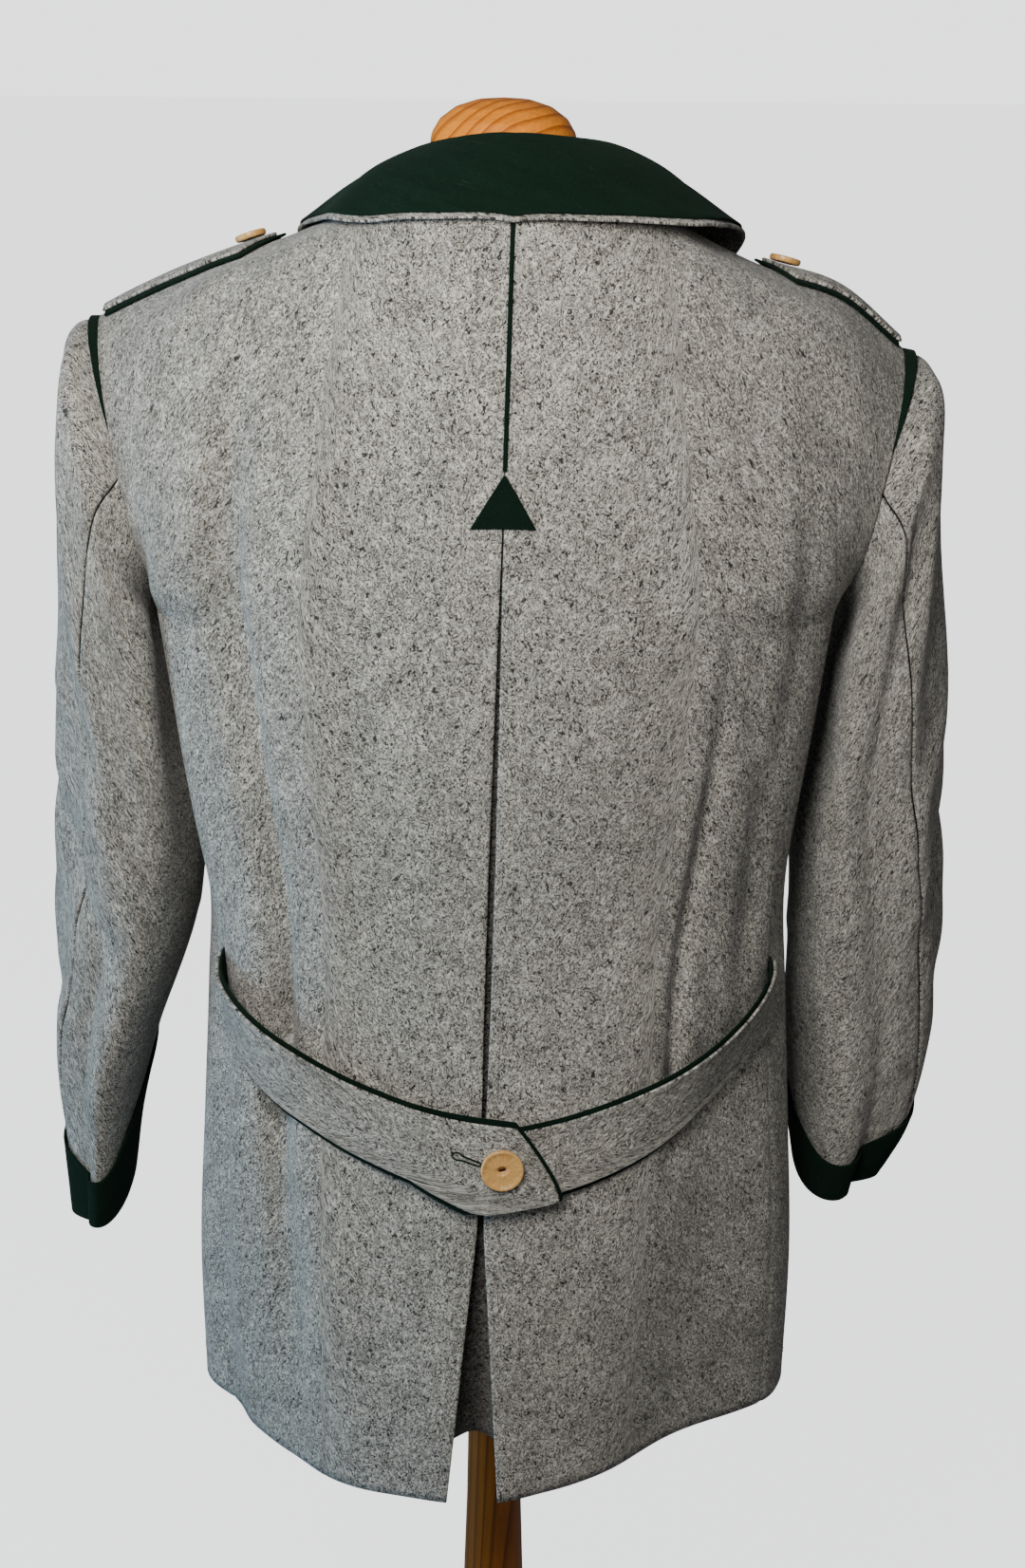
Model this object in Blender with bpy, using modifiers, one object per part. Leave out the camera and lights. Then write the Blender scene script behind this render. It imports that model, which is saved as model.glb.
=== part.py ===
"""A tyrolean loden jacket worn by a limbless dress form on a turned wooden stand.

Metres, +Z up. The origin is on the floor under the pole. The jacket's front faces -Y
and the wearer's left is +X. The whole body of the jacket is one surface of two numbers:
s counts the sections from the shoulder seam (0) down the back (+) or down the front (-),
and w runs from the centre line (0) to the side seam or armhole, +1 on the left, -1 on
the right. Each panel is a piece of that surface, and what lies on a panel is made from
the same surface, moved out. A sleeve is a surface of k, its rings from the armhole to
the cuff, and c, the way round from the top (0) over the back (0.25) to the underarm (0.5).
"""

import math

import bmesh
import bpy
import numpy as np

COLLECTION = "tyrolean_loden_jacket"

MM = 0.001

# Cloth
CLOTH = 0.0020
FELT = 0.0015
GAP = 0.0003

# Sections of the yoke, from the shoulder seam down to the underarm.
YOKE_COLUMNS = "centre_y centre_z edge_x edge_y edge_z corner full fall".split()
RIDGE = (-0.002, 1.487, 0.2340, -0.002, 1.3865, 0.50, 0.60, 1.25)
BACK_YOKE = (
    (0.040, 1.490, 0.2328, 0.022, 1.3765, 0.50, 0.60, 1.40),
    (0.078, 1.480, 0.2286, 0.044, 1.3590, 0.58, 0.58, 1.62),
    (0.103, 1.448, 0.2225, 0.060, 1.335, 0.68, 0.58, 1.70),
    (0.118, 1.398, 0.2155, 0.066, 1.303, 0.78, 0.58, 1.70),
    (0.126, 1.338, 0.2100, 0.058, 1.270, 0.88, 0.60, 1.65),
    (0.129, 1.280, 0.2060, 0.032, 1.245, 0.97, 0.61, 1.60),
)
FRONT_YOKE = (
    (-0.040, 1.472, 0.2318, -0.026, 1.3745, 0.50, 0.60, 1.28),
    (-0.074, 1.437, 0.2262, -0.047, 1.3540, 0.58, 0.58, 1.24),
    (-0.096, 1.392, 0.2185, -0.062, 1.329, 0.68, 0.58, 1.30),
    (-0.112, 1.342, 0.2115, -0.066, 1.299, 0.78, 0.58, 1.40),
    (-0.122, 1.296, 0.2055, -0.054, 1.268, 0.88, 0.58, 1.50),
    (-0.127, 1.258, 0.2045, -0.030, 1.244, 0.97, 0.58, 1.60),
)
# Sections below the underarm lie level, and back and front share their side seam.
SKIRT_COLUMNS = "height side_x side_y back_y front_y full".split()
SKIRT = (
    (1.232, 0.2030, -0.004, 0.1290, -0.128, 0.62),
    (1.150, 0.1935, -0.005, 0.1240, -0.126, 0.62),
    (1.050, 0.1825, -0.004, 0.1150, -0.117, 0.59),
    (0.970, 0.1865, -0.003, 0.1170, -0.116, 0.57),
    (0.880, 0.1925, -0.002, 0.1280, -0.122, 0.55),
    (0.780, 0.1985, 0.000, 0.1400, -0.130, 0.46),
    (0.677, 0.1985, 0.000, 0.1490, -0.136, 0.38),
)
HEM = len(BACK_YOKE) + len(SKIRT)
UNDERARM = len(BACK_YOKE) + 1
NAPE = 2.0
NECK_W = 0.34

# The jacket sits a little askew: its centre line leans, and its right shoulder hangs lower
# and rounder. The shoulders' rise is given by x, and fades out down the body.
LEAN = 0.0241
LEAN_HEIGHT = 1.2185
LEAN_BREADTH = 0.220
RISE_X = (-0.32, -0.26, -0.235, -0.195, -0.15, -0.08, 0.0, 0.08, 0.12, 0.19, 0.235, 0.26, 0.32)
RISE_Z = (-10.0, -10.0, -7.4, 3.2, -4.6, -3.8, 0.0, -2.0, -1.1, 5.3, 8.2, 9.0, 9.0)
RISE_FROM = 1.20
RISE_TO = 1.42

# Large soft folds of the body: start and end in s and w, breadth in w, height.
BODY_FOLD_COLUMNS = "s0 w0 s1 w1 breadth height".split()
BODY_FOLDS = (
    (5.0, 0.60, 10.0, 0.47, 0.16, 0.0040),
    (6.5, 0.82, 10.5, 0.78, 0.10, -0.0050),
    (5.0, -0.58, 10.0, -0.50, 0.18, 0.0030),
    (6.5, -0.84, 10.0, -0.80, 0.10, -0.0040),
    (10.5, 0.45, 13.0, 0.36, 0.14, 0.0060),
    (11.0, 0.78, 13.0, 0.74, 0.11, -0.0080),
    (10.8, -0.54, 13.0, -0.51, 0.18, -0.0115),
    (-6.0, 0.75, -9.5, 0.70, 0.14, -0.0040),
    (-6.0, -0.75, -9.5, -0.70, 0.14, -0.0040),
)

# Sleeve rings from the armhole to the mouth: outer and inner point, middle, half depth
# from front to back, and how far the seams have turned outwards (degrees).
RING_COLUMNS = "outer_x outer_z inner_x inner_z middle_y half_depth turn".split()
SLEEVES = {
    "left": (
        (0.2360, 1.3930, 0.2050, 1.2340, 0.000, 0.066, 0),
        (0.2510, 1.3800, 0.2100, 1.2240, -0.002, 0.074, 2),
        (0.2590, 1.3520, 0.2100, 1.2080, -0.006, 0.079, 6),
        (0.2655, 1.2960, 0.2040, 1.1850, -0.013, 0.081, 14),
        (0.2720, 1.2150, 0.1985, 1.1420, -0.022, 0.080, 22),
        (0.2785, 1.1150, 0.1890, 1.0760, -0.032, 0.077, 32),
        (0.2850, 1.0000, 0.1990, 0.9960, -0.042, 0.073, 46),
        (0.2900, 0.9000, 0.2295, 0.9100, -0.053, 0.070, 56),
        (0.2895, 0.8400, 0.2480, 0.8420, -0.060, 0.066, 60),
        (0.2890, 0.7840, 0.2585, 0.7810, -0.066, 0.061, 62),
    ),
    "right": (
        (0.2360, 1.3930, 0.2050, 1.2340, 0.000, 0.066, 0),
        (0.2500, 1.3800, 0.2100, 1.2240, -0.002, 0.074, 2),
        (0.2570, 1.3520, 0.2100, 1.2080, -0.006, 0.079, 6),
        (0.2620, 1.2960, 0.2040, 1.1850, -0.013, 0.081, 12),
        (0.2690, 1.2100, 0.1985, 1.1400, -0.022, 0.080, 20),
        (0.2780, 1.1150, 0.1890, 1.0760, -0.032, 0.077, 30),
        (0.2870, 1.0100, 0.1925, 0.9900, -0.042, 0.073, 44),
        (0.2860, 0.9200, 0.1948, 0.9100, -0.052, 0.070, 56),
        (0.2755, 0.8620, 0.2015, 0.8530, -0.058, 0.067, 62),
        (0.2575, 0.8200, 0.2090, 0.8070, -0.062, 0.063, 66),
    ),
}
SLEEVE_END = len(SLEEVES["left"]) - 1
BACK_SEAM_C = 0.27
FRONT_SEAM_C = 0.73
SLEEVE_SEAM_C = 0.0010
ROUNDNESS = 0.90
SLEEVE_FOLD_COLUMNS = "k0 c0 k1 c1 breadth height".split()
SLEEVE_FOLDS = {
    "left": (
        (2.2, 0.08, 4.6, 0.22, 0.050, -0.0045),
        (4.4, 0.20, 6.6, 0.08, 0.050, 0.0035),
        (3.6, 0.36, 6.0, 0.40, 0.060, -0.0040),
        (5.6, 0.72, 6.6, 0.86, 0.050, -0.0040),
    ),
    "right": (
        (2.6, 0.12, 4.8, 0.24, 0.050, -0.0035),
        (4.4, 0.18, 6.8, 0.10, 0.050, 0.0035),
        (3.6, 0.36, 6.0, 0.40, 0.060, -0.0040),
        (5.6, 0.72, 6.6, 0.86, 0.050, -0.0040),
    ),
}
SIDES = {"left": 1, "right": -1}


# ---------------------------------------------------------------- numbers and meshes


def through(knots, values, at):
    """Cubic curve through the values, whose slope at a knot is the mean of its neighbours'."""
    knots = np.asarray(knots, float)
    values = np.asarray(values, float)
    slopes = np.gradient(values, knots)
    at = np.asarray(at, float)
    i = np.clip(np.searchsorted(knots, at) - 1, 0, len(knots) - 2)
    span = knots[i + 1] - knots[i]
    t = (at - knots[i]) / span
    rise = 3 * t**2 - 2 * t**3
    start = (t**3 - 2 * t**2 + t) * span * slopes[i]
    end = (t**3 - t**2) * span * slopes[i + 1]
    return values[i] + rise * (values[i + 1] - values[i]) + start + end


def table(columns, rows):
    """The rows as one array for each column name."""
    return dict(zip(columns, np.array(rows, float).T))


def smooth(share):
    """0 to 1 with level ends, as the share goes from 0 to 1."""
    share = np.clip(share, 0, 1)
    return share * share * (3 - 2 * share)


def sample(surface, a, b, side=1):
    """Points of a surface and its outward unit normals, from small steps along both numbers."""
    step = 1e-3
    a, b = np.broadcast_arrays(np.asarray(a, float), np.asarray(b, float))
    along_a = surface(a + step, b) - surface(a - step, b)
    along_b = surface(a, b + step) - surface(a, b - step)
    normals = np.cross(along_b, along_a) * side
    normals /= np.linalg.norm(normals, axis=-1, keepdims=True)
    return surface(a, b), normals


def collection(name):
    found = bpy.data.collections.get(name)
    if found is None:
        found = bpy.data.collections.new(name)
        bpy.context.scene.collection.children.link(found)
    return found


def finish(name, color, roughness, metallic=0.0):
    """A plain Principled material."""
    made = bpy.data.materials.get(name) or bpy.data.materials.new(name)
    made.use_nodes = True
    shader = made.node_tree.nodes["Principled BSDF"]
    shader.inputs["Base Color"].default_value = (*color, 1.0)
    shader.inputs["Roughness"].default_value = roughness
    shader.inputs["Metallic"].default_value = metallic
    made.diffuse_color = (*color, 1.0)
    return made


def loden():
    return finish("grey_loden", (0.30, 0.31, 0.30), 0.95)


def green_felt():
    return finish("green_felt", (0.006, 0.032, 0.016), 0.98)


def horn():
    return finish("horn", (0.72, 0.56, 0.34), 0.45)


def wood():
    return finish("oiled_wood", (0.55, 0.27, 0.08), 0.40)


def jersey():
    return finish("form_jersey", (0.60, 0.57, 0.51), 0.90)


def add_object(name, mesh, material):
    made = bpy.data.objects.new(name, mesh)
    made.data.materials.append(material)
    collection(COLLECTION).objects.link(made)
    return made


def strip(first, second):
    """Triangles between two rows of point numbers, every diagonal running the same way."""
    lower = np.stack([first[:-1], first[1:], second[1:]], -1)
    upper = np.stack([first[:-1], second[1:], second[:-1]], -1)
    return np.concatenate([lower, upper])


def wall(name, outer, inner, material, ring=False):
    """Closed wall between two grids of points; ring joins the last column to the first."""
    rows, cols = outer.shape[:2]
    index = np.arange(rows * cols).reshape(rows, cols)
    if ring:
        index = np.column_stack([index, index[:, :1]])
    below = index + rows * cols
    faces = [strip(index[r], index[r + 1]) for r in range(rows - 1)]
    faces += [strip(below[r], below[r + 1]) for r in range(rows - 1)]
    faces += [strip(below[0], index[0]), strip(index[-1], below[-1])]
    if not ring:
        faces += [strip(index[:, 0], below[:, 0]), strip(below[:, -1], index[:, -1])]
    mesh = bpy.data.meshes.new(name)
    points = np.concatenate([outer.reshape(-1, 3), inner.reshape(-1, 3)])
    mesh.from_pydata(points.tolist(), [], np.concatenate(faces).tolist())
    face_outwards(mesh)
    mesh.shade_smooth()
    mesh.set_sharp_from_angle(angle=math.radians(50))
    return add_object(name, mesh, material)


def face_outwards(mesh):
    shape = bmesh.new()
    shape.from_mesh(mesh)
    bmesh.ops.recalc_face_normals(shape, faces=shape.faces)
    shape.to_mesh(mesh)
    shape.free()


def cloth_on(name, surface, a, b, lift, thickness, material, side=1, ring=False):
    """A wall of cloth over a surface: its outer face is lift above it, its inner face below."""
    points, normals = sample(surface, a, b, side)
    lift = np.asarray(lift, float)[..., None] if np.ndim(lift) else lift
    outer = points + normals * lift
    return wall(name, outer, outer - normals * thickness, material, ring)


def turned(name, profile, material, steps=32):
    """A profile of radius and height, from the top down its outer side, turned about Z."""
    mesh = bpy.data.meshes.new(name)
    edges = [(i, i + 1) for i in range(len(profile) - 1)]
    mesh.from_pydata([(radius, 0.0, height) for radius, height in profile], edges, [])
    made = add_object(name, mesh, material)
    screw = made.modifiers.new("turn", "SCREW")
    screw.axis = "Z"
    screw.steps = steps
    screw.render_steps = steps
    screw.use_merge_vertices = True
    screw.merge_threshold = 0.0001
    screw.use_smooth_shade = True
    return made


# ---------------------------------------------------------------- the jacket's body


def body_table():
    """All sections from the front hem over the shoulder to the back hem, as columns."""
    skirt = table(SKIRT_COLUMNS, SKIRT)
    level = np.ones(len(SKIRT))

    def half(yoke, centre_y):
        rows = table(YOKE_COLUMNS, yoke)
        below = {
            "centre_y": centre_y,
            "centre_z": skirt["height"],
            "edge_x": skirt["side_x"],
            "edge_y": skirt["side_y"],
            "edge_z": skirt["height"],
            "corner": level,
            "full": skirt["full"],
            "fall": level,
        }
        return {name: np.concatenate([rows[name], below[name]]) for name in YOKE_COLUMNS}

    back = half(BACK_YOKE, skirt["back_y"])
    front = half(FRONT_YOKE, skirt["front_y"])
    ridge = dict(zip(YOKE_COLUMNS, RIDGE))
    return {
        name: np.concatenate([front[name][::-1], [ridge[name]], back[name]])
        for name in YOKE_COLUMNS
    }


BODY = body_table()
SECTIONS = np.arange(-HEM, HEM + 1)


def column(name, s):
    """One column of the table at s. All but the centre line's may turn at the underarm, where
    the armhole ends and the side seam starts."""
    if name in YOKE_COLUMNS[:2]:
        return through(SECTIONS, BODY[name], s)
    above = np.abs(SECTIONS) <= UNDERARM
    below = SECTIONS >= UNDERARM
    upper = through(SECTIONS[above], BODY[name][above], s)
    lower = through(SECTIONS[below], BODY[name][below], np.abs(s))
    return np.where(np.abs(s) < UNDERARM, upper, lower)


def plain_body(s, w):
    """A section is a cubic curve from the centre line to the edge; its two tangents meet
    at the corner, and its height falls from the centre to the edge by a power of w."""
    row = {name: column(name, s) for name in YOKE_COLUMNS}
    v = np.abs(w)
    first_x = row["full"] * row["corner"] * row["edge_x"]
    second_x = row["edge_x"] * (1 - row["full"] * (1 - row["corner"]))
    second_y = row["edge_y"] + row["full"] * (row["centre_y"] - row["edge_y"])
    start = (1 - v) ** 3 + 3 * (1 - v) ** 2 * v
    third = 3 * (1 - v) * v**2
    x = 3 * (1 - v) ** 2 * v * first_x + third * second_x + v**3 * row["edge_x"]
    y = start * row["centre_y"] + third * second_y + v**3 * row["edge_y"]
    z = row["centre_z"] + (row["edge_z"] - row["centre_z"]) * v ** row["fall"]
    return np.stack([x * np.sign(w + 1e-12), y, z], -1)


def sit(points):
    """Lean the centre line and set the shoulders at their own heights."""
    x, y, z = np.moveaxis(points, -1, 0)
    rise = through(RISE_X, RISE_Z, x) * MM * smooth((z - RISE_FROM) / (RISE_TO - RISE_FROM))
    lean = LEAN * (LEAN_HEIGHT - z) * (1 - smooth(np.abs(x) / LEAN_BREADTH))
    return np.stack([x + lean, y, z + rise], -1)


def folds(rows, a, b):
    """Height of soft ridges and troughs, each a bell across its line and faded past its ends."""
    total = np.zeros(np.broadcast(a, b).shape)
    for a0, b0, a1, b1, breadth, height in rows:
        share = np.clip((a - a0) / (a1 - a0), 0, 1)
        across = (b - b0 - share * (b1 - b0)) / breadth
        past = a - a0 - share * (a1 - a0)
        total = total + height * np.exp(-(across**2) - past**2)
    return total


def body(s, w):
    points, normals = sample(plain_body, s, w)
    return sit(points + normals * folds(BODY_FOLDS, s, w)[..., None])


def section_at(height):
    """The back's section number at a height below the underarm."""
    numbers = np.linspace(UNDERARM, HEM, 400)
    heights = through(SECTIONS, BODY["centre_z"], numbers)
    return np.interp(-np.asarray(height, float), -heights, numbers)


def w_at(distance, s):
    """The w that lies a short distance from the centre line."""
    return distance / (3 * column("full", s) * column("corner", s) * column("edge_x", s))


# ---------------------------------------------------------------- panels

PANEL_ROWS = 17
SHOULDER_SEAM_S = 0.006
SIDE_SEAM_W = 0.0009
BACK_W = (0.07, 0.14, 0.21, 0.28, 0.34, 0.43, 0.52, 0.61, 0.70, 0.79, 0.88, 0.95)
FRONT_W = (0.02, 0.10, 0.18, 0.26, 0.31, 0.34, 0.43, 0.52, 0.61, 0.70, 0.79, 0.88, 0.95)

# Half width of the slit down the centre back, by height.
SLIT_HEIGHT = (0.677, 0.780, 0.860, 0.900, 1.000, 1.100, 1.240, 1.300, 1.320, 1.500)
SLIT_HALF = (0.0155, 0.0085, 0.0022, 0.0010, 0.0019, 0.0019, 0.0009, 0.0004, 0.0002, 0.0002)

# The front edge: w and s of the roll line from the closing point up to the neck.
ROLL_COLUMNS = "w s".split()
ROLL = ((-0.090, 6.70), (0.020, 5.30), (0.120, 3.75), (0.200, 2.55), (0.280, 1.20), (0.340, 0.0))
FRONT_LAP_W = 0.090
UNDER_LAP = 0.0052


def back_neck_s(w):
    """Section number of the back neck edge, a quarter ellipse from the nape to the shoulder."""
    return NAPE * np.sqrt(np.clip(1 - (np.asarray(w) / NECK_W) ** 2, 0, 1))


def roll_s(w):
    """Section number of the roll line on the front, counted as a positive number."""
    roll = table(ROLL_COLUMNS, ROLL)
    return np.where(np.asarray(w) < NECK_W, through(roll["w"], roll["s"], w), 0.0)


def down(top):
    """Section numbers from a top edge to the underarm in half the rows, then on to the hem."""
    share = np.linspace(0, 2, PANEL_ROWS)[:, None]
    above = top + (UNDERARM - top) * np.clip(share, 0, 1)
    return above + (HEM - UNDERARM) * np.clip(share - 1, 0, 1)


def panel_grid(top, edge_w, inner_w):
    """Rows from the top edge to the hem; the first column follows edge_w, a function of s."""
    inner = np.array([*inner_w, 1 - SIDE_SEAM_W])
    s = down(top(inner)[None, :])
    w = np.broadcast_to(inner, s.shape)
    edge_s = down(top(edge_w(0.0)))
    return np.hstack([edge_s, s]), np.hstack([edge_w(edge_s), w])


def slit_w(s):
    height = through(SECTIONS, BODY["centre_z"], s)
    return w_at(np.interp(height, SLIT_HEIGHT, SLIT_HALF), s)


# How far the back's hem rises between the slit and the side seam, in sections.
HEM_RISE = {"left": 0.0, "right": 0.07}


def make_backs():
    def top(w):
        return np.maximum(back_neck_s(w), SHOULDER_SEAM_S)

    s, w = panel_grid(top, slit_w, BACK_W)
    s, w = s[::-1], w[::-1]
    for name, side in SIDES.items():
        rise = HEM_RISE[name] * np.sin(np.pi * w) ** 2 * smooth(s - HEM + 1)
        cloth_on(f"back_{name}", body, s - rise, w * side, 0.0, CLOTH, loden())


def right_front(s, w):
    """The surface pushed in along the closing edge, so that the left front laps over it."""
    points, normals = sample(body, s, w)
    under = UNDER_LAP * smooth((w + 0.30) / 0.16) * smooth((-s - 3.6) / 1.4)
    return points - normals * under[..., None]


def make_fronts():
    def top(w):
        return np.maximum(roll_s(w), SHOULDER_SEAM_S)

    def edge(s):
        return np.full(np.shape(s), -FRONT_LAP_W)

    s, w = panel_grid(top, edge, FRONT_W)
    cloth_on("front_left", body, -s, w, 0.0, CLOTH, loden())
    cloth_on("front_right", right_front, -s, -w, 0.0, CLOTH, loden())


UNDERLAY_TOP = 5.62
UNDERLAY_SHORT = 0.20
UNDERLAY_HALF = 0.046
UNDERLAY_LIFT = 0.0009
UNDERLAY_ACROSS = (-1.0, -0.72, -0.44, -0.2, 0.0, 0.2, 0.44, 0.72, 1.0)
TROUGH_HEIGHT = (0.677, 0.780, 0.880, 1.000, 1.300)
TROUGH_DEPTH = (0.044, 0.020, 0.007, 0.005, 0.002)


def make_underlay():
    back_rows = down(NAPE)[:, 0] - UNDERLAY_SHORT * np.linspace(0, 1, PANEL_ROWS)
    s = back_rows[back_rows > UNDERLAY_TOP][:, None]
    across = np.array(UNDERLAY_ACROSS)[None, :]
    w = w_at(UNDERLAY_HALF * across, s)
    height = through(SECTIONS, BODY["centre_z"], s)
    trough = np.interp(height, TROUGH_HEIGHT, TROUGH_DEPTH) * (1 - smooth(np.abs(across)))
    depth = CLOTH + UNDERLAY_LIFT + trough
    cloth_on("pleat_underlay", body, s, w, -depth, CLOTH, loden())


# ---------------------------------------------------------------- sleeves


ARMHOLE_LIFT = 0.0008


def armhole(c, side):
    """The body's edge round the arm, just outside the panels so that the sleeve laps over it."""
    c = np.mod(c, 1.0)
    s = np.where(c <= 0.5, 2 * c, -2 * (1 - c)) * UNDERARM
    points, normals = sample(body, s, np.full(np.shape(s), float(side)))
    return points + normals * (CLOTH + ARMHOLE_LIFT)


def ring(k, c, side_name):
    """A flattened round, its own outer and inner points and depth read from the sleeve's table."""
    rows = table(RING_COLUMNS, SLEEVES[side_name])
    at = {name: through(np.arange(SLEEVE_END + 1), rows[name], k) for name in RING_COLUMNS}
    angle = 2 * math.pi * c - np.radians(at["turn"])
    out = np.sign(np.cos(angle)) * np.abs(np.cos(angle)) ** ROUNDNESS
    back = np.sign(np.sin(angle)) * np.abs(np.sin(angle)) ** ROUNDNESS
    x = (at["outer_x"] + at["inner_x"]) / 2 + (at["outer_x"] - at["inner_x"]) / 2 * out
    z = (at["outer_z"] + at["inner_z"]) / 2 + (at["outer_z"] - at["inner_z"]) / 2 * out
    y = at["middle_y"] + at["half_depth"] * back
    return sit(np.stack([x * SIDES[side_name], y, z], -1))


def sleeve_surface(side_name):
    """The rings, pulled onto the armhole at their start by a correction that fades out."""
    side = SIDES[side_name]

    def plain(k, c):
        start = armhole(c, side) - ring(np.zeros(np.shape(c)), c, side_name)
        fade = np.clip(1 - k / 1.6, 0, None) ** 2
        return ring(k, c, side_name) + start * fade[..., None]

    def surface(k, c):
        points, normals = sample(plain, k, c, -side)
        high = folds(SLEEVE_FOLDS[side_name], k, np.mod(c, 1.0)) * smooth(k / 1.5)
        return points + normals * high[..., None]

    return surface


SLEEVE_ROWS = (0, 0.35, 0.8, 1.4, 2, 2.7, 3.4, 4, 4.6, 5.2, 5.8, 6.4, 7, 7.6, 8.3, 9)
TOP_COLUMNS = 16
UNDER_COLUMNS = 13


def make_sleeves():
    for name, side in SIDES.items():
        surface = sleeve_surface(name)
        k = np.array(SLEEVE_ROWS, float)[:, None]
        halves = {
            "top": (FRONT_SEAM_C - 1, BACK_SEAM_C, TOP_COLUMNS),
            "under": (BACK_SEAM_C, FRONT_SEAM_C, UNDER_COLUMNS),
        }
        for half, (start, end, columns) in halves.items():
            c = np.linspace(start + SLEEVE_SEAM_C, end - SLEEVE_SEAM_C, columns)[None, :]
            cloth_on(f"sleeve_{name}_{half}", surface, k, c, 0.0, CLOTH, loden(), -side)


# Where the felt cuff's upper border runs, by the true way round from the outside (degrees).
CUFF_WAY = (0, 60, 90, 120, 180, 240, 270, 300, 360)
CUFF_BORDER = (7.55, 8.28, 8.38, 8.28, 7.45, 7.00, 6.95, 7.00, 7.55)
CUFF_ROWS = 5
CUFF_PAST = 0.03
CUFF_LIFT = 0.0011


def make_cuffs():
    for name, side in SIDES.items():
        top_c = np.linspace(FRONT_SEAM_C - 1, BACK_SEAM_C, TOP_COLUMNS)
        c = np.concatenate([top_c, np.linspace(BACK_SEAM_C, FRONT_SEAM_C, UNDER_COLUMNS)[1:-1]])
        rows = table(RING_COLUMNS, SLEEVES[name])
        way = np.mod(360 * c - rows["turn"][-1], 360)
        border = np.interp(way, CUFF_WAY, CUFF_BORDER)
        end = SLEEVE_END + CUFF_PAST
        k = border + (end - border) * np.linspace(0, 1, CUFF_ROWS)[:, None]
        surface = sleeve_surface(name)
        lift = CUFF_LIFT + FELT
        cloth_on(f"cuff_{name}", surface, k, c[None, :], lift, FELT, green_felt(), -side, True)


# The felt crescent round the top of the armhole: its breadth in k, by c.
WEDGE_END_C = 0.225
WEDGE_BREADTH = {"left": 0.30, "right": 0.38}
WEDGE_START_K = 0.03
WEDGE_POINT_K = 0.03
WEDGE_LIFT = 0.0008


def make_wedges():
    for name, side in SIDES.items():
        c = np.linspace(-WEDGE_END_C, WEDGE_END_C, 25)[None, :]
        taper = 1 - np.abs(c / WEDGE_END_C) ** 1.5
        breadth = WEDGE_POINT_K + WEDGE_BREADTH[name] * taper
        k = WEDGE_START_K + breadth * np.linspace(0, 1, 3)[:, None]
        surface = sleeve_surface(name)
        cloth_on(f"wedge_{name}", surface, k, c, WEDGE_LIFT + FELT, FELT, green_felt(), -side)


# ---------------------------------------------------------------- collar and lapels

# Half the collar, from the centre back to its front end. Its neck seam, fold and outer
# edge each follow the body's surface, at s and w, standing off it by a lift.
COLLAR_COLUMNS = (
    "neck_s neck_w neck_lift fold_s fold_w fold_lift edge_s edge_w edge_lift".split()
)
COLLAR = (
    (2.00, 0.000, 0.0014, 1.62, 0.000, 0.0175, 2.66, 0.000, 0.0060),
    (1.81, 0.145, 0.0014, 1.45, 0.125, 0.0185, 2.42, 0.190, 0.0070),
    (1.29, 0.260, 0.0014, 1.02, 0.220, 0.0185, 1.90, 0.370, 0.0070),
    (0.34, 0.335, 0.0014, 0.27, 0.270, 0.0145, 0.78, 0.455, 0.0055),
    (-0.35, 0.325, 0.0014, -0.52, 0.292, 0.0140, -0.45, 0.510, 0.0055),
    (-1.13, 0.285, 0.0014, -1.20, 0.276, 0.0110, -1.65, 0.490, 0.0055),
    (-1.97, 0.235, 0.0014, -1.98, 0.236, 0.0090, -2.85, 0.450, 0.0055),
)
COLLAR_WAYS = 25
COLLAR_SHOULDER = 0.34
COLLAR_BULGE = 0.0045
COLLAR_RIGHT_LIFT = 0.010
COLLAR_RIGHT_OUT = 0.050
COLLAR_FELT_U = (0.0, 0.35, 0.70, 0.90, 1.0, 1.12, 1.35, 1.70, 2.0)
COLLAR_UNDER_U = (1.12, 1.35, 1.70, 2.0, 2.05)


def collar_surface(u, t):
    """Across the collar, u goes from the neck seam (0) up to the fold (1) and down to the
    edge (2), as a smooth curve through these three and a raised point past the fold."""
    rows = table(COLLAR_COLUMNS, COLLAR)
    at = {name: through(np.arange(len(COLLAR)), rows[name], np.abs(t)) for name in COLLAR_COLUMNS}
    right = smooth((-t - 0.2) / 2.2) * (1 - smooth((-t - 4.2) / 1.8))
    at["edge_lift"] = at["edge_lift"] + COLLAR_RIGHT_LIFT * right
    at["fold_lift"] = at["fold_lift"] + COLLAR_RIGHT_LIFT * right / 2
    at["edge_w"] = at["edge_w"] + COLLAR_RIGHT_OUT * right
    lines = []
    for part in ("neck", "fold", "edge"):
        w = at[f"{part}_w"] * np.sign(t + 1e-12)
        points, normals = sample(body, at[f"{part}_s"], w)
        lines.append(points + normals * at[f"{part}_lift"][..., None])
    neck, fold, edge = lines
    raised = fold + COLLAR_SHOULDER * (edge - fold)
    raised[..., 2] += COLLAR_BULGE
    knots = (0.0, 1.0, 1.0 + COLLAR_SHOULDER, 2.0)
    shares = [through(knots, weight, u)[..., None] for weight in np.eye(4)]
    return sum(share * line for share, line in zip(shares, (neck, fold, raised, edge)))


def make_collar():
    t = np.linspace(-6, 6, COLLAR_WAYS)[None, :]
    u = np.array(COLLAR_FELT_U)[:, None]
    cloth_on("collar_felt", collar_surface, u, t, FELT / 2, FELT, green_felt())
    u = np.array(COLLAR_UNDER_U)[:, None]
    cloth_on("collar_under", collar_surface, u, t, -FELT / 2 - GAP, CLOTH, loden())


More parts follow.
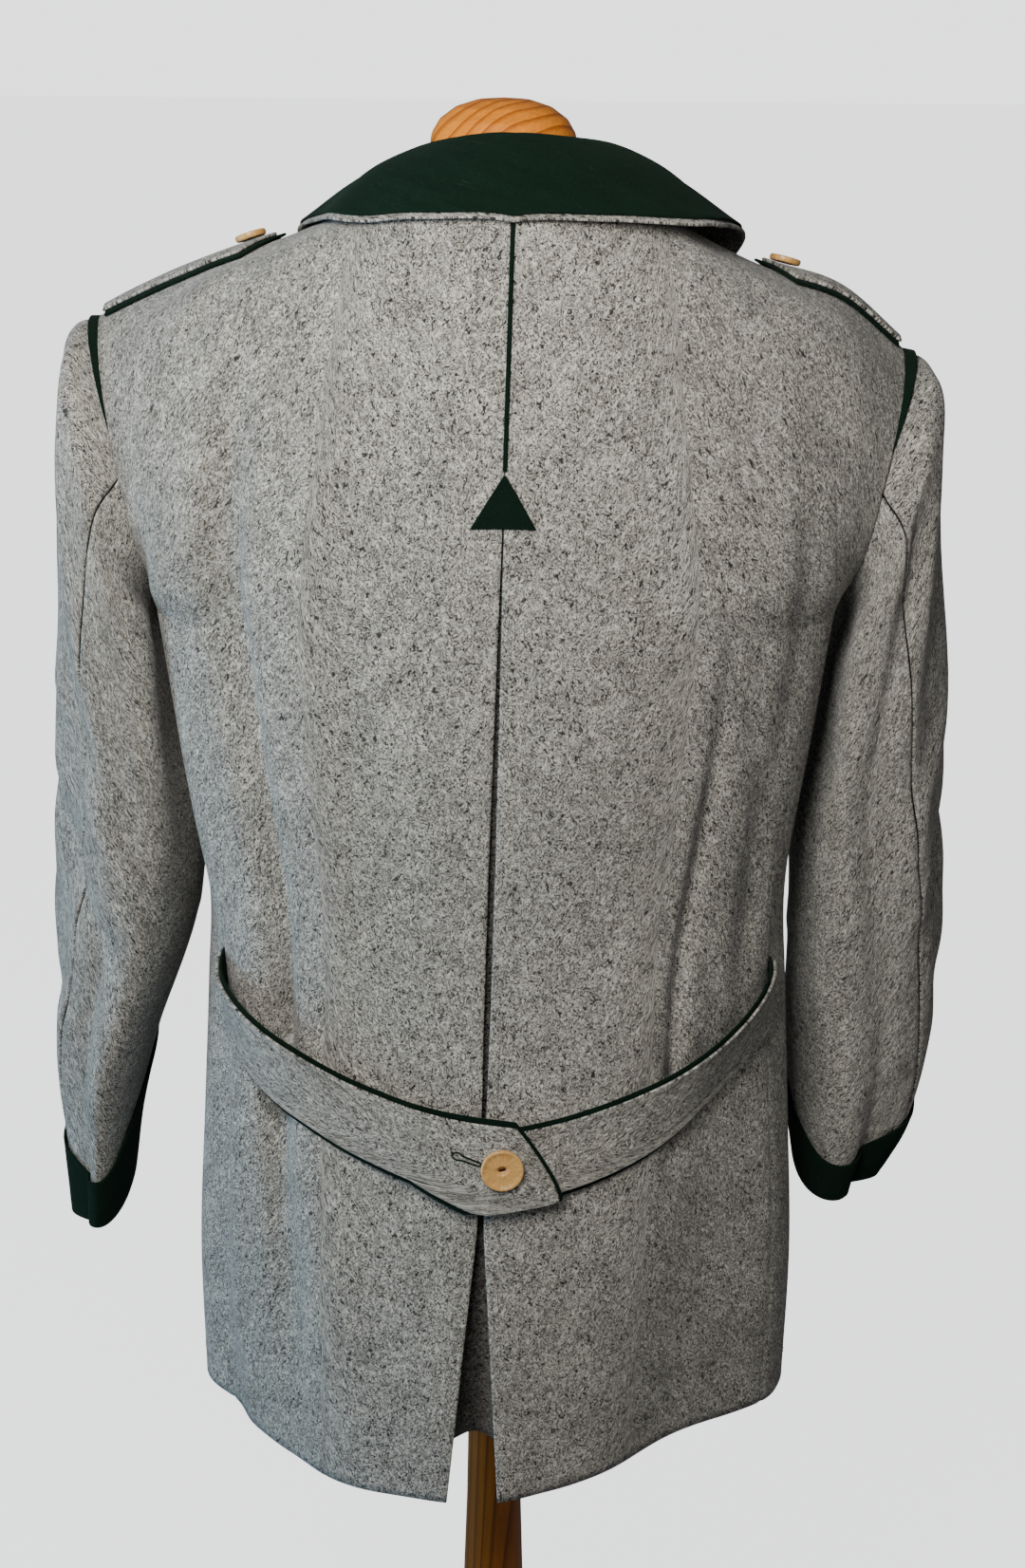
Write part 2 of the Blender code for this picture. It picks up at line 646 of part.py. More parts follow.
# Each lapel from the closing point up to the notch: w of the roll line, and its outer edge.
LAPEL_COLUMNS = "roll_w edge_w edge_s".split()
LAPELS = {
    "left": (
        (-0.080, -0.070, 6.62),
        (-0.010, 0.090, 5.90),
        (0.060, 0.220, 4.95),
        (0.120, 0.330, 4.15),
        (0.170, 0.405, 3.45),
        (0.212, 0.350, 3.05),
    ),
    "right": (
        (0.022, 0.034, 5.40),
        (0.060, 0.150, 5.30),
        (0.100, 0.260, 4.70),
        (0.140, 0.350, 4.05),
        (0.175, 0.405, 3.45),
        (0.212, 0.350, 3.05),
    ),
}
LAPEL_ACROSS = 5
LAPEL_LIFT = 0.0013
LAPEL_SWELL = 0.0040


def make_lapels():
    for name, side in SIDES.items():
        lapel = table(LAPEL_COLUMNS, LAPELS[name])
        across = np.linspace(0, 1, LAPEL_ACROSS)[:, None]
        w = lapel["roll_w"] + (lapel["edge_w"] - lapel["roll_w"]) * across
        start_s = roll_s(lapel["roll_w"])
        s = start_s + (lapel["edge_s"] - start_s) * across
        lift = LAPEL_LIFT + CLOTH + LAPEL_SWELL * np.sin(np.pi * across) * np.ones_like(w)
        surface = body if name == "left" else right_front
        cloth_on(f"lapel_{name}", surface, -s, w * side, lift, CLOTH, loden())


# ---------------------------------------------------------------- trims


STRAP_HALF = 0.95
STRAP_POINT_W = {"left": 0.555, "right": 0.620}
STRAP_POINT_LONG = 0.08
STRAP_END_W = 0.975
STRAP_LIFT = 0.0010
STRAP_FORWARD = 0.35
STRAP_ACROSS = (-1.0, -0.6, -0.25, 0.0, 0.25, 0.6, 1.0)
STRAP_ALONG = (0.0, 0.12, 0.25, 0.4, 0.55, 0.7, 0.85, 1.0)
STRAP_FELT_ACROSS = 1.13
STRAP_FELT_ALONG = -0.045


def strap_grid(across, along, point_w):
    """Across the strap in s and along it in w, from its pointed end to the sleeve."""
    across = np.array(across)[:, None]
    along = np.array(along)[None, :]
    start = point_w + STRAP_POINT_LONG * np.abs(across)
    w = start + (STRAP_END_W - start) * along
    return across * STRAP_HALF * (0.90 - 0.12 * along) - STRAP_FORWARD * along, w


def make_straps():
    felt_across = (-STRAP_FELT_ACROSS, *STRAP_ACROSS, STRAP_FELT_ACROSS)
    felt_along = (STRAP_FELT_ALONG, *STRAP_ALONG)
    for name, side in SIDES.items():
        s, w = strap_grid(felt_across, felt_along, STRAP_POINT_W[name])
        lift = STRAP_LIFT + FELT
        cloth_on(f"strap_felt_{name}", body, s, w * side, lift, FELT, green_felt())
        s, w = strap_grid(STRAP_ACROSS, STRAP_ALONG, STRAP_POINT_W[name])
        lift += GAP + CLOTH
        cloth_on(f"strap_{name}", body, s, w * side, lift, CLOTH, loden())


# The half belt: height of its upper edge by w, for each piece, and how far it stands off.
BELT_WIDTH = 0.055
BELT_COLUMNS = "w upper off gape".split()
BELTS = {
    "left": (
        (-0.145, 0.9290, 0.0118, 0.0),
        (-0.060, 0.9340, 0.0116, 0.0),
        (0.030, 0.9380, 0.0114, 0.0),
        (0.130, 0.9440, 0.0108, 0.0),
        (0.200, 0.9500, 0.0090, 0.002),
        (0.290, 0.9590, 0.0074, 0.005),
        (0.400, 0.9740, 0.0064, 0.009),
        (0.520, 0.9900, 0.0060, 0.012),
        (0.640, 1.0020, 0.0056, 0.010),
        (0.720, 1.0080, 0.0052, 0.005),
        (0.770, 1.0100, 0.0050, 0.001),
    ),
    "right": (
        (-0.110, 0.9330, 0.0060, 0.0),
        (0.000, 0.9360, 0.0060, 0.0),
        (0.120, 0.9420, 0.0060, 0.0),
        (0.240, 0.9520, 0.0058, 0.003),
        (0.370, 0.9660, 0.0058, 0.008),
        (0.500, 0.9820, 0.0056, 0.012),
        (0.630, 0.9960, 0.0054, 0.010),
        (0.720, 1.0040, 0.0052, 0.005),
        (0.770, 1.0060, 0.0050, 0.001),
    ),
}
BELT_SHARES = (0.0, 0.25, 0.5, 0.75, 1.0)
BELT_FELT_ABOVE = -0.085
BELT_FELT_BELOW = 1.03
BELT_ALONG = 18
BELT_FELT_PAST = -0.020
BELT_TIP_W = 0.10
BELT_TIP_CUT = 0.10


def belt_grid(rows, shares, along):
    """Rows down the belt and columns along it; the free end is cut to a blunt point."""
    at = table(BELT_COLUMNS, rows)
    share = np.array(shares)[:, None]
    free_w = at["w"][0]
    w = free_w + (at["w"][-1] - free_w) * along[None, :]
    near_end = np.clip(1 - (w - free_w) / BELT_TIP_W, 0, 1)
    w = w + BELT_TIP_CUT * near_end * np.abs(2 * share - 1.05) ** 1.5
    height = through(at["w"], at["upper"], w) - BELT_WIDTH * share
    gape = through(at["w"], at["gape"], w) * np.clip(1 - share, 0, 1) ** 1.3
    return section_at(height), w, through(at["w"], at["off"], w) + gape


def make_belts():
    along = np.linspace(0, 1, BELT_ALONG)
    felt_along = np.array([BELT_FELT_PAST, *along])
    felt_shares = (BELT_FELT_ABOVE, *BELT_SHARES, BELT_FELT_BELOW)
    for name, side in SIDES.items():
        s, w, off = belt_grid(BELTS[name], BELT_SHARES, along)
        cloth_on(f"belt_{name}", body, s, w * side, off, CLOTH, loden())
        s, w, off = belt_grid(BELTS[name], felt_shares, felt_along)
        under = off - CLOTH - GAP
        cloth_on(f"belt_felt_{name}", body, s, w * side, under, FELT, green_felt())


PIPING_HALF = 0.00125
PIPING_THICK = 0.0010
TRIM_LIFT = 0.0005
ARROW_TOP = 1.331
ARROW_BASE = 1.302
ARROW_HALF = 0.0185
PIPING_END = 1.333


def back_s_at(height):
    numbers = np.linspace(NAPE, HEM, 600)
    heights = through(SECTIONS, BODY["centre_z"], numbers)
    return np.interp(-np.asarray(height, float), -heights, numbers)


def make_back_trim():
    top = NAPE + 0.10
    s = np.linspace(top, back_s_at(PIPING_END), 12)[:, None]
    w = w_at(np.array([-PIPING_HALF, 0.0, PIPING_HALF])[None, :], s)
    cloth_on("seam_piping", body, s, w, TRIM_LIFT + PIPING_THICK, PIPING_THICK, green_felt())
    height = np.linspace(ARROW_TOP, ARROW_BASE, 6)[:, None]
    s = back_s_at(height) * np.ones((1, 5))
    half = 0.0006 + (ARROW_HALF - 0.0006) * (ARROW_TOP - height) / (ARROW_TOP - ARROW_BASE)
    w = w_at(half * np.linspace(-1, 1, 5)[None, :], s)
    cloth_on("back_arrow", body, s, w, TRIM_LIFT + FELT, FELT, green_felt())


# ---------------------------------------------------------------- buttons

BUTTON_PROFILE = (
    (0.0, 0.62),
    (0.58, 0.62),
    (0.72, 0.95),
    (0.88, 1.0),
    (1.0, 0.60),
    (0.88, 0.0),
    (0.0, 0.0),
)
BUTTON_STEPS = 16
BELT_BUTTON = (0.0130, 0.0042)
FRONT_BUTTON = (0.0115, 0.0040)
STRAP_BUTTON = (0.0092, 0.0036)
FRONT_BUTTON_COLUMNS = "height lift".split()
FRONT_BUTTONS = ((1.165, 0.0001), (1.050, 0.0009), (0.935, 0.0005), (0.820, 0.0001))
BELT_BUTTON_HEIGHT = 0.909
BELT_BUTTON_X = -0.0115
STRAP_BUTTON_W = 0.056
STRAP_BUTTON_LIFT = 0.0004


def place_button(name, size, point, normal):
    """A turned button standing on a point, its axis along the normal."""
    radius, height = size
    profile = [(r * radius, h * height) for r, h in BUTTON_PROFILE]
    made = turned(name, profile, horn(), steps=BUTTON_STEPS)
    up = np.array(normal)
    sideways = np.cross([0.0, 0.0, 1.0], up)
    turn = math.acos(max(-1.0, min(1.0, float(up[2]))))
    sideways = sideways / np.linalg.norm(sideways)
    made.rotation_mode = "AXIS_ANGLE"
    made.rotation_axis_angle = (turn, *sideways)
    made.location = tuple(np.array(point) + up * GAP)
    return made


def point_on(surface, a, b, lift, side=1):
    points, normals = sample(surface, np.array([[a]]), np.array([[b]]), side)
    return points[0, 0] + normals[0, 0] * lift, normals[0, 0]


def make_buttons():
    front = table(FRONT_BUTTON_COLUMNS, FRONT_BUTTONS)
    for number, (height, lift) in enumerate(zip(front["height"], front["lift"]), start=1):
        spot, normal = point_on(body, -float(section_at(height)), 0.0, lift)
        place_button(f"button_front_{number}", FRONT_BUTTON, spot, normal)
    s = float(section_at(BELT_BUTTON_HEIGHT))
    w = float(w_at(BELT_BUTTON_X, s))
    belt = table(BELT_COLUMNS, BELTS["left"])
    spot, normal = point_on(body, s, w, float(through(belt["w"], belt["off"], w)))
    place_button("button_belt", BELT_BUTTON, spot, normal)
    top = STRAP_LIFT + FELT + GAP + CLOTH + STRAP_BUTTON_LIFT
    for name, side in SIDES.items():
        w = STRAP_POINT_W[name] + STRAP_BUTTON_W
        spot, normal = point_on(body, 0.0, w * side, top)
        place_button(f"button_strap_{name}", STRAP_BUTTON, spot, normal)


# ---------------------------------------------------------------- form and stand

# Level sections of the form: height, half width, depth behind and in front.
FORM_COLUMNS = "height half back front".split()
FORM = (
    (1.4880, 0.0360, 0.0360, 0.0360),
    (1.4700, 0.0400, 0.0460, 0.0440),
    (1.4574, 0.0640, 0.0560, 0.0480),
    (1.4454, 0.0960, 0.0590, 0.0480),
    (1.4313, 0.1340, 0.0640, 0.0520),
    (1.4163, 0.1700, 0.0700, 0.0560),
    (1.3992, 0.1900, 0.0760, 0.0620),
    (1.3710, 0.1980, 0.0880, 0.0740),
    (1.3200, 0.1900, 0.0990, 0.0880),
    (1.2500, 0.1740, 0.1050, 0.1000),
    (1.1500, 0.1600, 0.1020, 0.1020),
    (1.0500, 0.1500, 0.0920, 0.0940),
    (0.9500, 0.1540, 0.0920, 0.0960),
    (0.8600, 0.1600, 0.0970, 0.1000),
    (0.8100, 0.1580, 0.0960, 0.0980),
    (0.7950, 0.1460, 0.0860, 0.0880),
)
FORM_AROUND = 30
FORM_SHARP = 0.90
FORM_SHIFT_Y = 0.004
NECK_TOP = FORM[0][0]
FORM_BOTTOM = FORM[-1][0]


def make_form():
    at = table(FORM_COLUMNS, FORM)
    around = 2 * math.pi * np.arange(FORM_AROUND) / FORM_AROUND
    out = np.sign(np.cos(around)) * np.abs(np.cos(around)) ** FORM_SHARP
    back = np.sign(np.sin(around)) * np.abs(np.sin(around)) ** FORM_SHARP
    x = at["half"][:, None] * out
    depth = np.where(back > 0, at["back"][:, None], at["front"][:, None])
    y = FORM_SHIFT_Y + depth * back
    z = at["height"][:, None] * np.ones(FORM_AROUND)
    points = sit(np.stack([x, y, z], -1))
    level = (z <= FORM_BOTTOM) | (z >= NECK_TOP)
    points[..., 2] = np.where(level, z, points[..., 2])
    shape = bmesh.new()
    rings = [[shape.verts.new(point) for point in row] for row in points.tolist()]
    for upper, lower in zip(rings, rings[1:]):
        for i in range(FORM_AROUND):
            j = (i + 1) % FORM_AROUND
            shape.faces.new([upper[i], lower[i], lower[j], upper[j]])
    shape.faces.new(rings[0])
    shape.faces.new(rings[-1])
    bmesh.ops.recalc_face_normals(shape, faces=shape.faces)
    mesh = bpy.data.meshes.new("form_torso")
    shape.to_mesh(mesh)
    shape.free()
    mesh.shade_smooth()
    mesh.set_sharp_from_angle(angle=math.radians(50))
    add_object("form_torso", mesh, jersey())


CAP_PROFILE = (
    (0.0, 0.0300),
    (0.0150, 0.0288),
    (0.0270, 0.0250),
    (0.0360, 0.0185),
    (0.0405, 0.0110),
    (0.0415, 0.0060),
    (0.0400, 0.0015),
    (0.0370, 0.0),
    (0.0, 0.0),
)
POLE_PROFILE = (
    (0.0, 0.7946),
    (0.0165, 0.7946),
    (0.0175, 0.6800),
    (0.0190, 0.5700),
    (0.0207, 0.5150),
    (0.0235, 0.4200),
    (0.0262, 0.3000),
    (0.0270, 0.2000),
    (0.0258, 0.1300),
    (0.0300, 0.1100),
    (0.0300, 0.1000),
    (0.0262, 0.0920),
    (0.0300, 0.0600),
    (0.0420, 0.0403),
    (0.0, 0.0403),
)
BASE_PROFILE = (
    (0.0, 0.0400),
    (0.0700, 0.0400),
    (0.1100, 0.0350),
    (0.1500, 0.0270),
    (0.1660, 0.0220),
    (0.1720, 0.0150),
    (0.1720, 0.0060),
    (0.1680, 0.0),
    (0.0, 0.0),
)


def make_stand():
    cap = turned("neck_cap", CAP_PROFILE, wood(), steps=32)
    cap.location = (0.0, FORM_SHIFT_Y, NECK_TOP + GAP)
    turned("pole", POLE_PROFILE, wood(), steps=18)
    turned("base", BASE_PROFILE, wood(), steps=28)


def main():
    for old in list(bpy.data.objects):
        bpy.data.objects.remove(old)
    make_backs()
    make_fronts()
    make_underlay()
    make_sleeves()
    make_cuffs()
    make_wedges()
    make_collar()
    make_lapels()
    make_straps()
    make_belts()
    make_back_trim()
    make_buttons()
    make_form()
    make_stand()


main()
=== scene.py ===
"""A tyrolean loden jacket on a limbless dress form, seen from behind.

The script is a lesson in cells: each cell makes one piece of the jacket or one of its
finishes, and the comment before it says what that is on a real jacket. Metres, +Z up,
the jacket's front faces -Y and the wearer's left is +X.
"""

# %% [markdown]
# The imported solids are the frame of everything here. They stay where they are: each
# piece below takes the place of one of them and lies on the same form, only finer.

import math

import bmesh
import bpy
import numpy as np
from mathutils import Euler, Matrix, Vector


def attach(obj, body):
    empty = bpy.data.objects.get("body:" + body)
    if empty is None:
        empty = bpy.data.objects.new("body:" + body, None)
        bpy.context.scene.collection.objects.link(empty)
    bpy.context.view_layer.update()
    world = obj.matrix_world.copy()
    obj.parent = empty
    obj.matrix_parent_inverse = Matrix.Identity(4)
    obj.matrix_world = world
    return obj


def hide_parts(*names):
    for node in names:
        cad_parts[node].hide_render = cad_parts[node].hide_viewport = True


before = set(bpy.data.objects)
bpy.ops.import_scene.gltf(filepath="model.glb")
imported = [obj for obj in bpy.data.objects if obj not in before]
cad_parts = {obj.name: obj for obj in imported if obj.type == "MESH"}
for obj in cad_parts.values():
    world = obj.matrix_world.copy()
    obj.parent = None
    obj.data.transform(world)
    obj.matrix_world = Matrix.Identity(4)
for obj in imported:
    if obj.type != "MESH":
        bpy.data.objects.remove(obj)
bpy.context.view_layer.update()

# %% [markdown]
# The camera stands close behind the jacket at head height and looks down on it by
# about twenty degrees, a little rolled. A near camera makes the shoulders look large
# and the hem small, so its distance matters as much as its angle.

# %% Camera
CAMERA_PLACE = (-0.0084, 1.32, 1.60)
CAMERA_DOWN = math.radians(20.5)
CAMERA_ROLL = math.radians(0.55)
IMAGE_WIDTH = 1080
FOCAL_PIXELS = 2374

camera_data = bpy.data.cameras.new("camera")
camera_data.sensor_fit = "HORIZONTAL"
camera_data.sensor_width = 36.0
camera_data.lens = FOCAL_PIXELS / IMAGE_WIDTH * 36.0
camera = bpy.data.objects.new("camera", camera_data)
bpy.context.scene.collection.objects.link(camera)
turn = Euler((math.pi / 2 - CAMERA_DOWN, 0.0, math.pi)).to_matrix()
turn = turn @ Matrix.Rotation(CAMERA_ROLL, 3, "Z")
camera.matrix_world = Matrix.Translation(CAMERA_PLACE) @ turn.to_4x4()
bpy.context.scene.camera = camera
print("lens", round(camera_data.lens, 2), "mm")

# %% [markdown]
# The room is plain: a pale floor that runs out into a pale distance, and soft light.
# One warm light hangs near and high behind the camera, so the top of the back is the
# brightest and the hem and the undersides of the sleeves fall into shade. A low blue
# window on the left lights what turns towards it, such as one flank of each long fold,
# and very little light comes back from the room on the right. The floor shines a
# little by itself so that it stays pale, but it adds no light to the cloth.

# %% Light and floor
SKY = (0.93, 0.94, 0.96)
SKY_LIGHT = 0.12
SKY_SEEN = 2.3


def area_light(name, place, aim, size, power, color):
    """A soft rectangular lamp at a place, turned to face the point aim."""
    data = bpy.data.lights.new(name, "AREA")
    data.shape = "RECTANGLE"
    data.size, data.size_y = size
    data.energy = power
    data.color = color
    made = bpy.data.objects.new(name, data)
    bpy.context.scene.collection.objects.link(made)
    made.location = place
    made.visible_camera = False
    made.rotation_euler = (Vector(aim) - Vector(place)).to_track_quat("-Z", "Y").to_euler()
    return made


world = bpy.data.worlds.new("room")
world.use_nodes = True
sky = world.node_tree.nodes["Background"]
sky.inputs["Color"].default_value = (*SKY, 1.0)
ray = world.node_tree.nodes.new("ShaderNodeLightPath")
seen = world.node_tree.nodes.new("ShaderNodeMapRange")
seen.inputs["To Min"].default_value = SKY_LIGHT
seen.inputs["To Max"].default_value = SKY_SEEN
world.node_tree.links.new(ray.outputs["Is Camera Ray"], seen.inputs["Value"])
world.node_tree.links.new(seen.outputs["Result"], sky.inputs["Strength"])
bpy.context.scene.world = world
area_light("top", (0.27, 0.86, 1.82), (0.0, 0.0, 1.2), (0.5, 0.5), 15.0, (1.0, 0.955, 0.885))
area_light("window", (2.2, 0.45, 0.85), (0.0, 0.0, 1.0), (0.8, 1.3), 34.0, (0.46, 0.76, 1.0))
area_light("room_fill", (-2.4, 1.8, 1.7), (0.0, 0.0, 1.1), (1.8, 1.8), 6.0, (1.0, 0.90, 0.78))

floor_mesh = bpy.data.meshes.new("floor")
corners = [(-9.0, -24.0, -0.0015), (9.0, -24.0, -0.0015), (9.0, 6.0, -0.0015), (-9.0, 6.0, -0.0015)]
floor_mesh.from_pydata(corners, [], [(0, 1, 2, 3)])
floor = bpy.data.objects.new("floor", floor_mesh)
bpy.context.scene.collection.objects.link(floor)
floor_paint = bpy.data.materials.new("pale_floor")
floor_paint.use_nodes = True
paint = floor_paint.node_tree.nodes["Principled BSDF"].inputs
paint["Base Color"].default_value = (0.50, 0.50, 0.50, 1.0)
paint["Roughness"].default_value = 0.75
paint["Emission Color"].default_value = (0.95, 0.96, 0.97, 1.0)
paint["Emission Strength"].default_value = 2.0
floor_mesh.materials.append(floor_paint)
floor.visible_diffuse = floor.visible_glossy = False
print("three soft lamps and a floor")


# %% [markdown]
# Cloth on a figure is easiest to make as a surface of two numbers. A small table says
# where the surface passes, a cubic curve runs through the table's values, and NumPy
# works out all points at once. These are the few helpers that everything uses.

# %% Curves through tables of values
MM = 0.001


def through(knots, values, at):
    """Cubic curve through the values, whose slope at a knot is the mean of its neighbours'."""
    knots = np.asarray(knots, float)
    values = np.asarray(values, float)
    slopes = np.gradient(values, knots)
    at = np.asarray(at, float)
    i = np.clip(np.searchsorted(knots, at) - 1, 0, len(knots) - 2)
    span = knots[i + 1] - knots[i]
    t = (at - knots[i]) / span
    rise = 3 * t**2 - 2 * t**3
    start = (t**3 - 2 * t**2 + t) * span * slopes[i]
    end = (t**3 - t**2) * span * slopes[i + 1]
    return values[i] + rise * (values[i + 1] - values[i]) + start + end


def table(columns, rows):
    """The rows as one array for each column name."""
    return dict(zip(columns, np.array(rows, float).T))


def smooth(share):
    """0 to 1 with level ends, as the share goes from 0 to 1."""
    share = np.clip(share, 0, 1)
    return share * share * (3 - 2 * share)


def sample(surface, a, b, side=1):
    """Points of a surface and its outward unit normals, from small steps along both numbers."""
    step = 1e-3
    a, b = np.broadcast_arrays(np.asarray(a, float), np.asarray(b, float))
    along_a = surface(a + step, b) - surface(a - step, b)
    along_b = surface(a, b + step) - surface(a, b - step)
    normals = np.cross(along_b, along_a) * side
    normals /= np.linalg.norm(normals, axis=-1, keepdims=True)
    return surface(a, b), normals


def folds(rows, a, b):
    """Height of soft ridges and troughs, each a bell across its line and faded past its ends."""
    total = np.zeros(np.broadcast(a, b).shape)
    for a0, b0, a1, b1, breadth, height in rows:
        share = np.clip((a - a0) / (a1 - a0), 0, 1)
        across = (b - b0 - share * (b1 - b0)) / breadth
        past = a - a0 - share * (a1 - a0)
        total = total + height * np.exp(-(across**2) - past**2)
    return total


print("a curve through 0, 1, 0 at its middle:", float(through([0, 1, 2], [0, 1, 0], 0.5)))

# %% [markdown]
# The jacket's body is one surface. Its first number s counts sections: 0 is the shoulder
# seam, and it grows down the back to the hem at 13, or falls down the front to -13. The
# second number w runs across, from the centre line at 0 to the side seam or armhole at
# 1 on the wearer's left and -1 on the right. A tailor thinks of the same lines. Each row
# below gives one section's centre, its edge, and how full the cloth is between them.

# %% The body's sections
YOKE_COLUMNS = "centre_y centre_z edge_x edge_y edge_z corner full fall".split()
RIDGE = (-0.002, 1.487, 0.2340, -0.002, 1.3865, 0.50, 0.60, 1.25)
BACK_YOKE = (
    (0.040, 1.490, 0.2328, 0.022, 1.3765, 0.50, 0.60, 1.40),
    (0.078, 1.480, 0.2286, 0.044, 1.3590, 0.58, 0.58, 1.62),
    (0.103, 1.448, 0.2225, 0.060, 1.335, 0.68, 0.58, 1.70),
    (0.118, 1.398, 0.2155, 0.066, 1.303, 0.78, 0.58, 1.70),
    (0.126, 1.338, 0.2100, 0.058, 1.270, 0.88, 0.60, 1.65),
    (0.129, 1.280, 0.2060, 0.032, 1.245, 0.97, 0.61, 1.60),
)
FRONT_YOKE = (
    (-0.040, 1.472, 0.2318, -0.026, 1.3745, 0.50, 0.60, 1.28),
    (-0.074, 1.437, 0.2262, -0.047, 1.3540, 0.58, 0.58, 1.24),
    (-0.096, 1.392, 0.2185, -0.062, 1.329, 0.68, 0.58, 1.30),
    (-0.112, 1.342, 0.2115, -0.066, 1.299, 0.78, 0.58, 1.40),
    (-0.122, 1.296, 0.2055, -0.054, 1.268, 0.88, 0.58, 1.50),
    (-0.127, 1.258, 0.2045, -0.030, 1.244, 0.97, 0.58, 1.60),
)
# Sections below the underarm lie level, and back and front share their side seam.
SKIRT_COLUMNS = "height side_x side_y back_y front_y full".split()
SKIRT = (
    (1.232, 0.2030, -0.004, 0.1290, -0.128, 0.62),
    (1.150, 0.1935, -0.005, 0.1240, -0.126, 0.62),
    (1.050, 0.1825, -0.004, 0.1150, -0.117, 0.59),
    (0.970, 0.1865, -0.003, 0.1170, -0.116, 0.57),
    (0.880, 0.1925, -0.002, 0.1280, -0.122, 0.55),
    (0.780, 0.1985, 0.000, 0.1400, -0.130, 0.46),
    (0.677, 0.1985, 0.000, 0.1490, -0.136, 0.38),
)


HEM = len(BACK_YOKE) + len(SKIRT)
UNDERARM = len(BACK_YOKE) + 1
NAPE = 2.0
NECK_W = 0.34


print("sections from shoulder to hem:", HEM)

# %% [markdown]
# A worn jacket is never symmetric. The centre seam leans, the right shoulder hangs lower
# and rounder, and each shoulder rises and falls where the pad and the seams end.

# %% How the jacket sits
LEAN = 0.0241
LEAN_HEIGHT = 1.2185
LEAN_BREADTH = 0.220
RISE_X = (-0.32, -0.26, -0.235, -0.195, -0.15, -0.08, 0.0, 0.08, 0.12, 0.19, 0.235, 0.26, 0.32)
RISE_Z = (-10.0, -10.0, -7.4, 3.2, -4.6, -3.8, 0.0, -2.0, -1.1, 5.3, 8.2, 9.0, 9.0)
RISE_FROM = 1.20
RISE_TO = 1.42


print("lean of the centre line:", LEAN)

# %% [markdown]
# Loden is thick, so it makes a few broad soft folds and hardly any sharp creases. The
# large ones are the solids' own. The second table is finer: the long trough that falls
# from the left shoulder blade to the end of the half belt and beyond it, the shallow
# folds between the shoulder blades and the arms, the drag lines from the belt's ends,
# and some on the front. Each row is a line with a start, an end, a breadth and a height.

# %% The body's folds
# Each row: s0 w0 s1 w1 breadth height.
BODY_FOLDS = (
    (5.0, 0.60, 10.0, 0.47, 0.16, 0.0040),
    (6.5, 0.82, 10.5, 0.78, 0.10, -0.0050),
    (5.0, -0.58, 10.0, -0.50, 0.18, 0.0030),
    (6.5, -0.84, 10.0, -0.80, 0.10, -0.0040),
    (10.5, 0.45, 13.0, 0.36, 0.14, 0.0060),
    (11.0, 0.78, 13.0, 0.74, 0.11, -0.0080),
    (10.8, -0.54, 13.0, -0.51, 0.18, -0.0115),
    (-6.0, 0.75, -9.5, 0.70, 0.14, -0.0040),
    (-6.0, -0.75, -9.5, -0.70, 0.14, -0.0040),
)


BODY_CREASES = (
    (5.0, 0.560, 9.9, 0.490, 0.060, -0.0110),
    (6.2, 0.515, 9.9, 0.482, 0.028, -0.0050),
    (6.4, 0.790, 8.4, 0.780, 0.110, 0.0130),
    (5.2, 0.350, 8.8, 0.330, 0.055, 0.0030),
    (10.6, 0.490, 11.5, 0.460, 0.055, -0.0095),
    (10.9, 0.660, 12.0, 0.655, 0.055, 0.0045),
    (10.9, 0.350, 11.8, 0.350, 0.060, 0.0020),
    (11.4, 0.300, 13.0, 0.270, 0.070, 0.0012),
    (2.2, 0.300, 4.6, 0.420, 0.060, -0.0010),
    (1.6, 0.550, 3.4, 0.760, 0.060, -0.0014),
    (2.0, 0.700, 4.4, 0.820, 0.050, 0.0012),
    (5.2, 0.100, 8.2, 0.080, 0.045, 0.0010),
    (5.0, 0.200, 7.6, 0.240, 0.050, -0.0009),
    (1.8, -0.480, 3.6, -0.740, 0.060, -0.0013),
    (3.2, -0.620, 6.0, -0.560, 0.055, 0.0014),
    (6.2, -0.255, 7.3, -0.320, 0.040, -0.0026),
    (5.6, -0.330, 6.8, -0.390, 0.035, 0.0014),
    (8.7, -0.425, 9.7, -0.405, 0.024, -0.0070),
    (7.6, -0.500, 8.9, -0.640, 0.050, -0.0024),
    (6.4, -0.800, 8.4, -0.790, 0.110, 0.0060),
    (5.6, -0.640, 9.0, -0.610, 0.050, -0.0024),
    (7.6, -0.420, 9.8, -0.500, 0.040, -0.0012),
    (5.0, -0.120, 8.4, -0.150, 0.050, 0.0008),
    (10.4, -0.300, 13.0, -0.340, 0.080, 0.0014),
    (10.6, -0.180, 12.6, -0.170, 0.050, -0.0010),
    (10.3, -0.760, 12.8, -0.800, 0.070, 0.0016),
    (-2.4, 0.640, -5.2, 0.560, 0.070, -0.0016),
    (-5.4, 0.480, -9.0, 0.420, 0.080, 0.0018),
    (-9.0, 0.620, -12.6, 0.660, 0.080, -0.0020),
    (-2.6, -0.640, -5.0, -0.580, 0.070, -0.0015),
    (-5.6, -0.500, -9.2, -0.440, 0.080, 0.0016),
    (-9.4, -0.600, -12.8, -0.640, 0.080, -0.0018),
    (-10.0, 0.250, -13.0, 0.280, 0.070, 0.0012),
)
print("folds:", len(BODY_FOLDS), "large and", len(BODY_CREASES), "fine")

# %% [markdown]
# Now the surface itself. Each half of a section is a cubic Bezier curve: level at the
# centre line, so that left and right join smoothly, and turning at the corner towards
# the side. The folds move each point along its own normal.

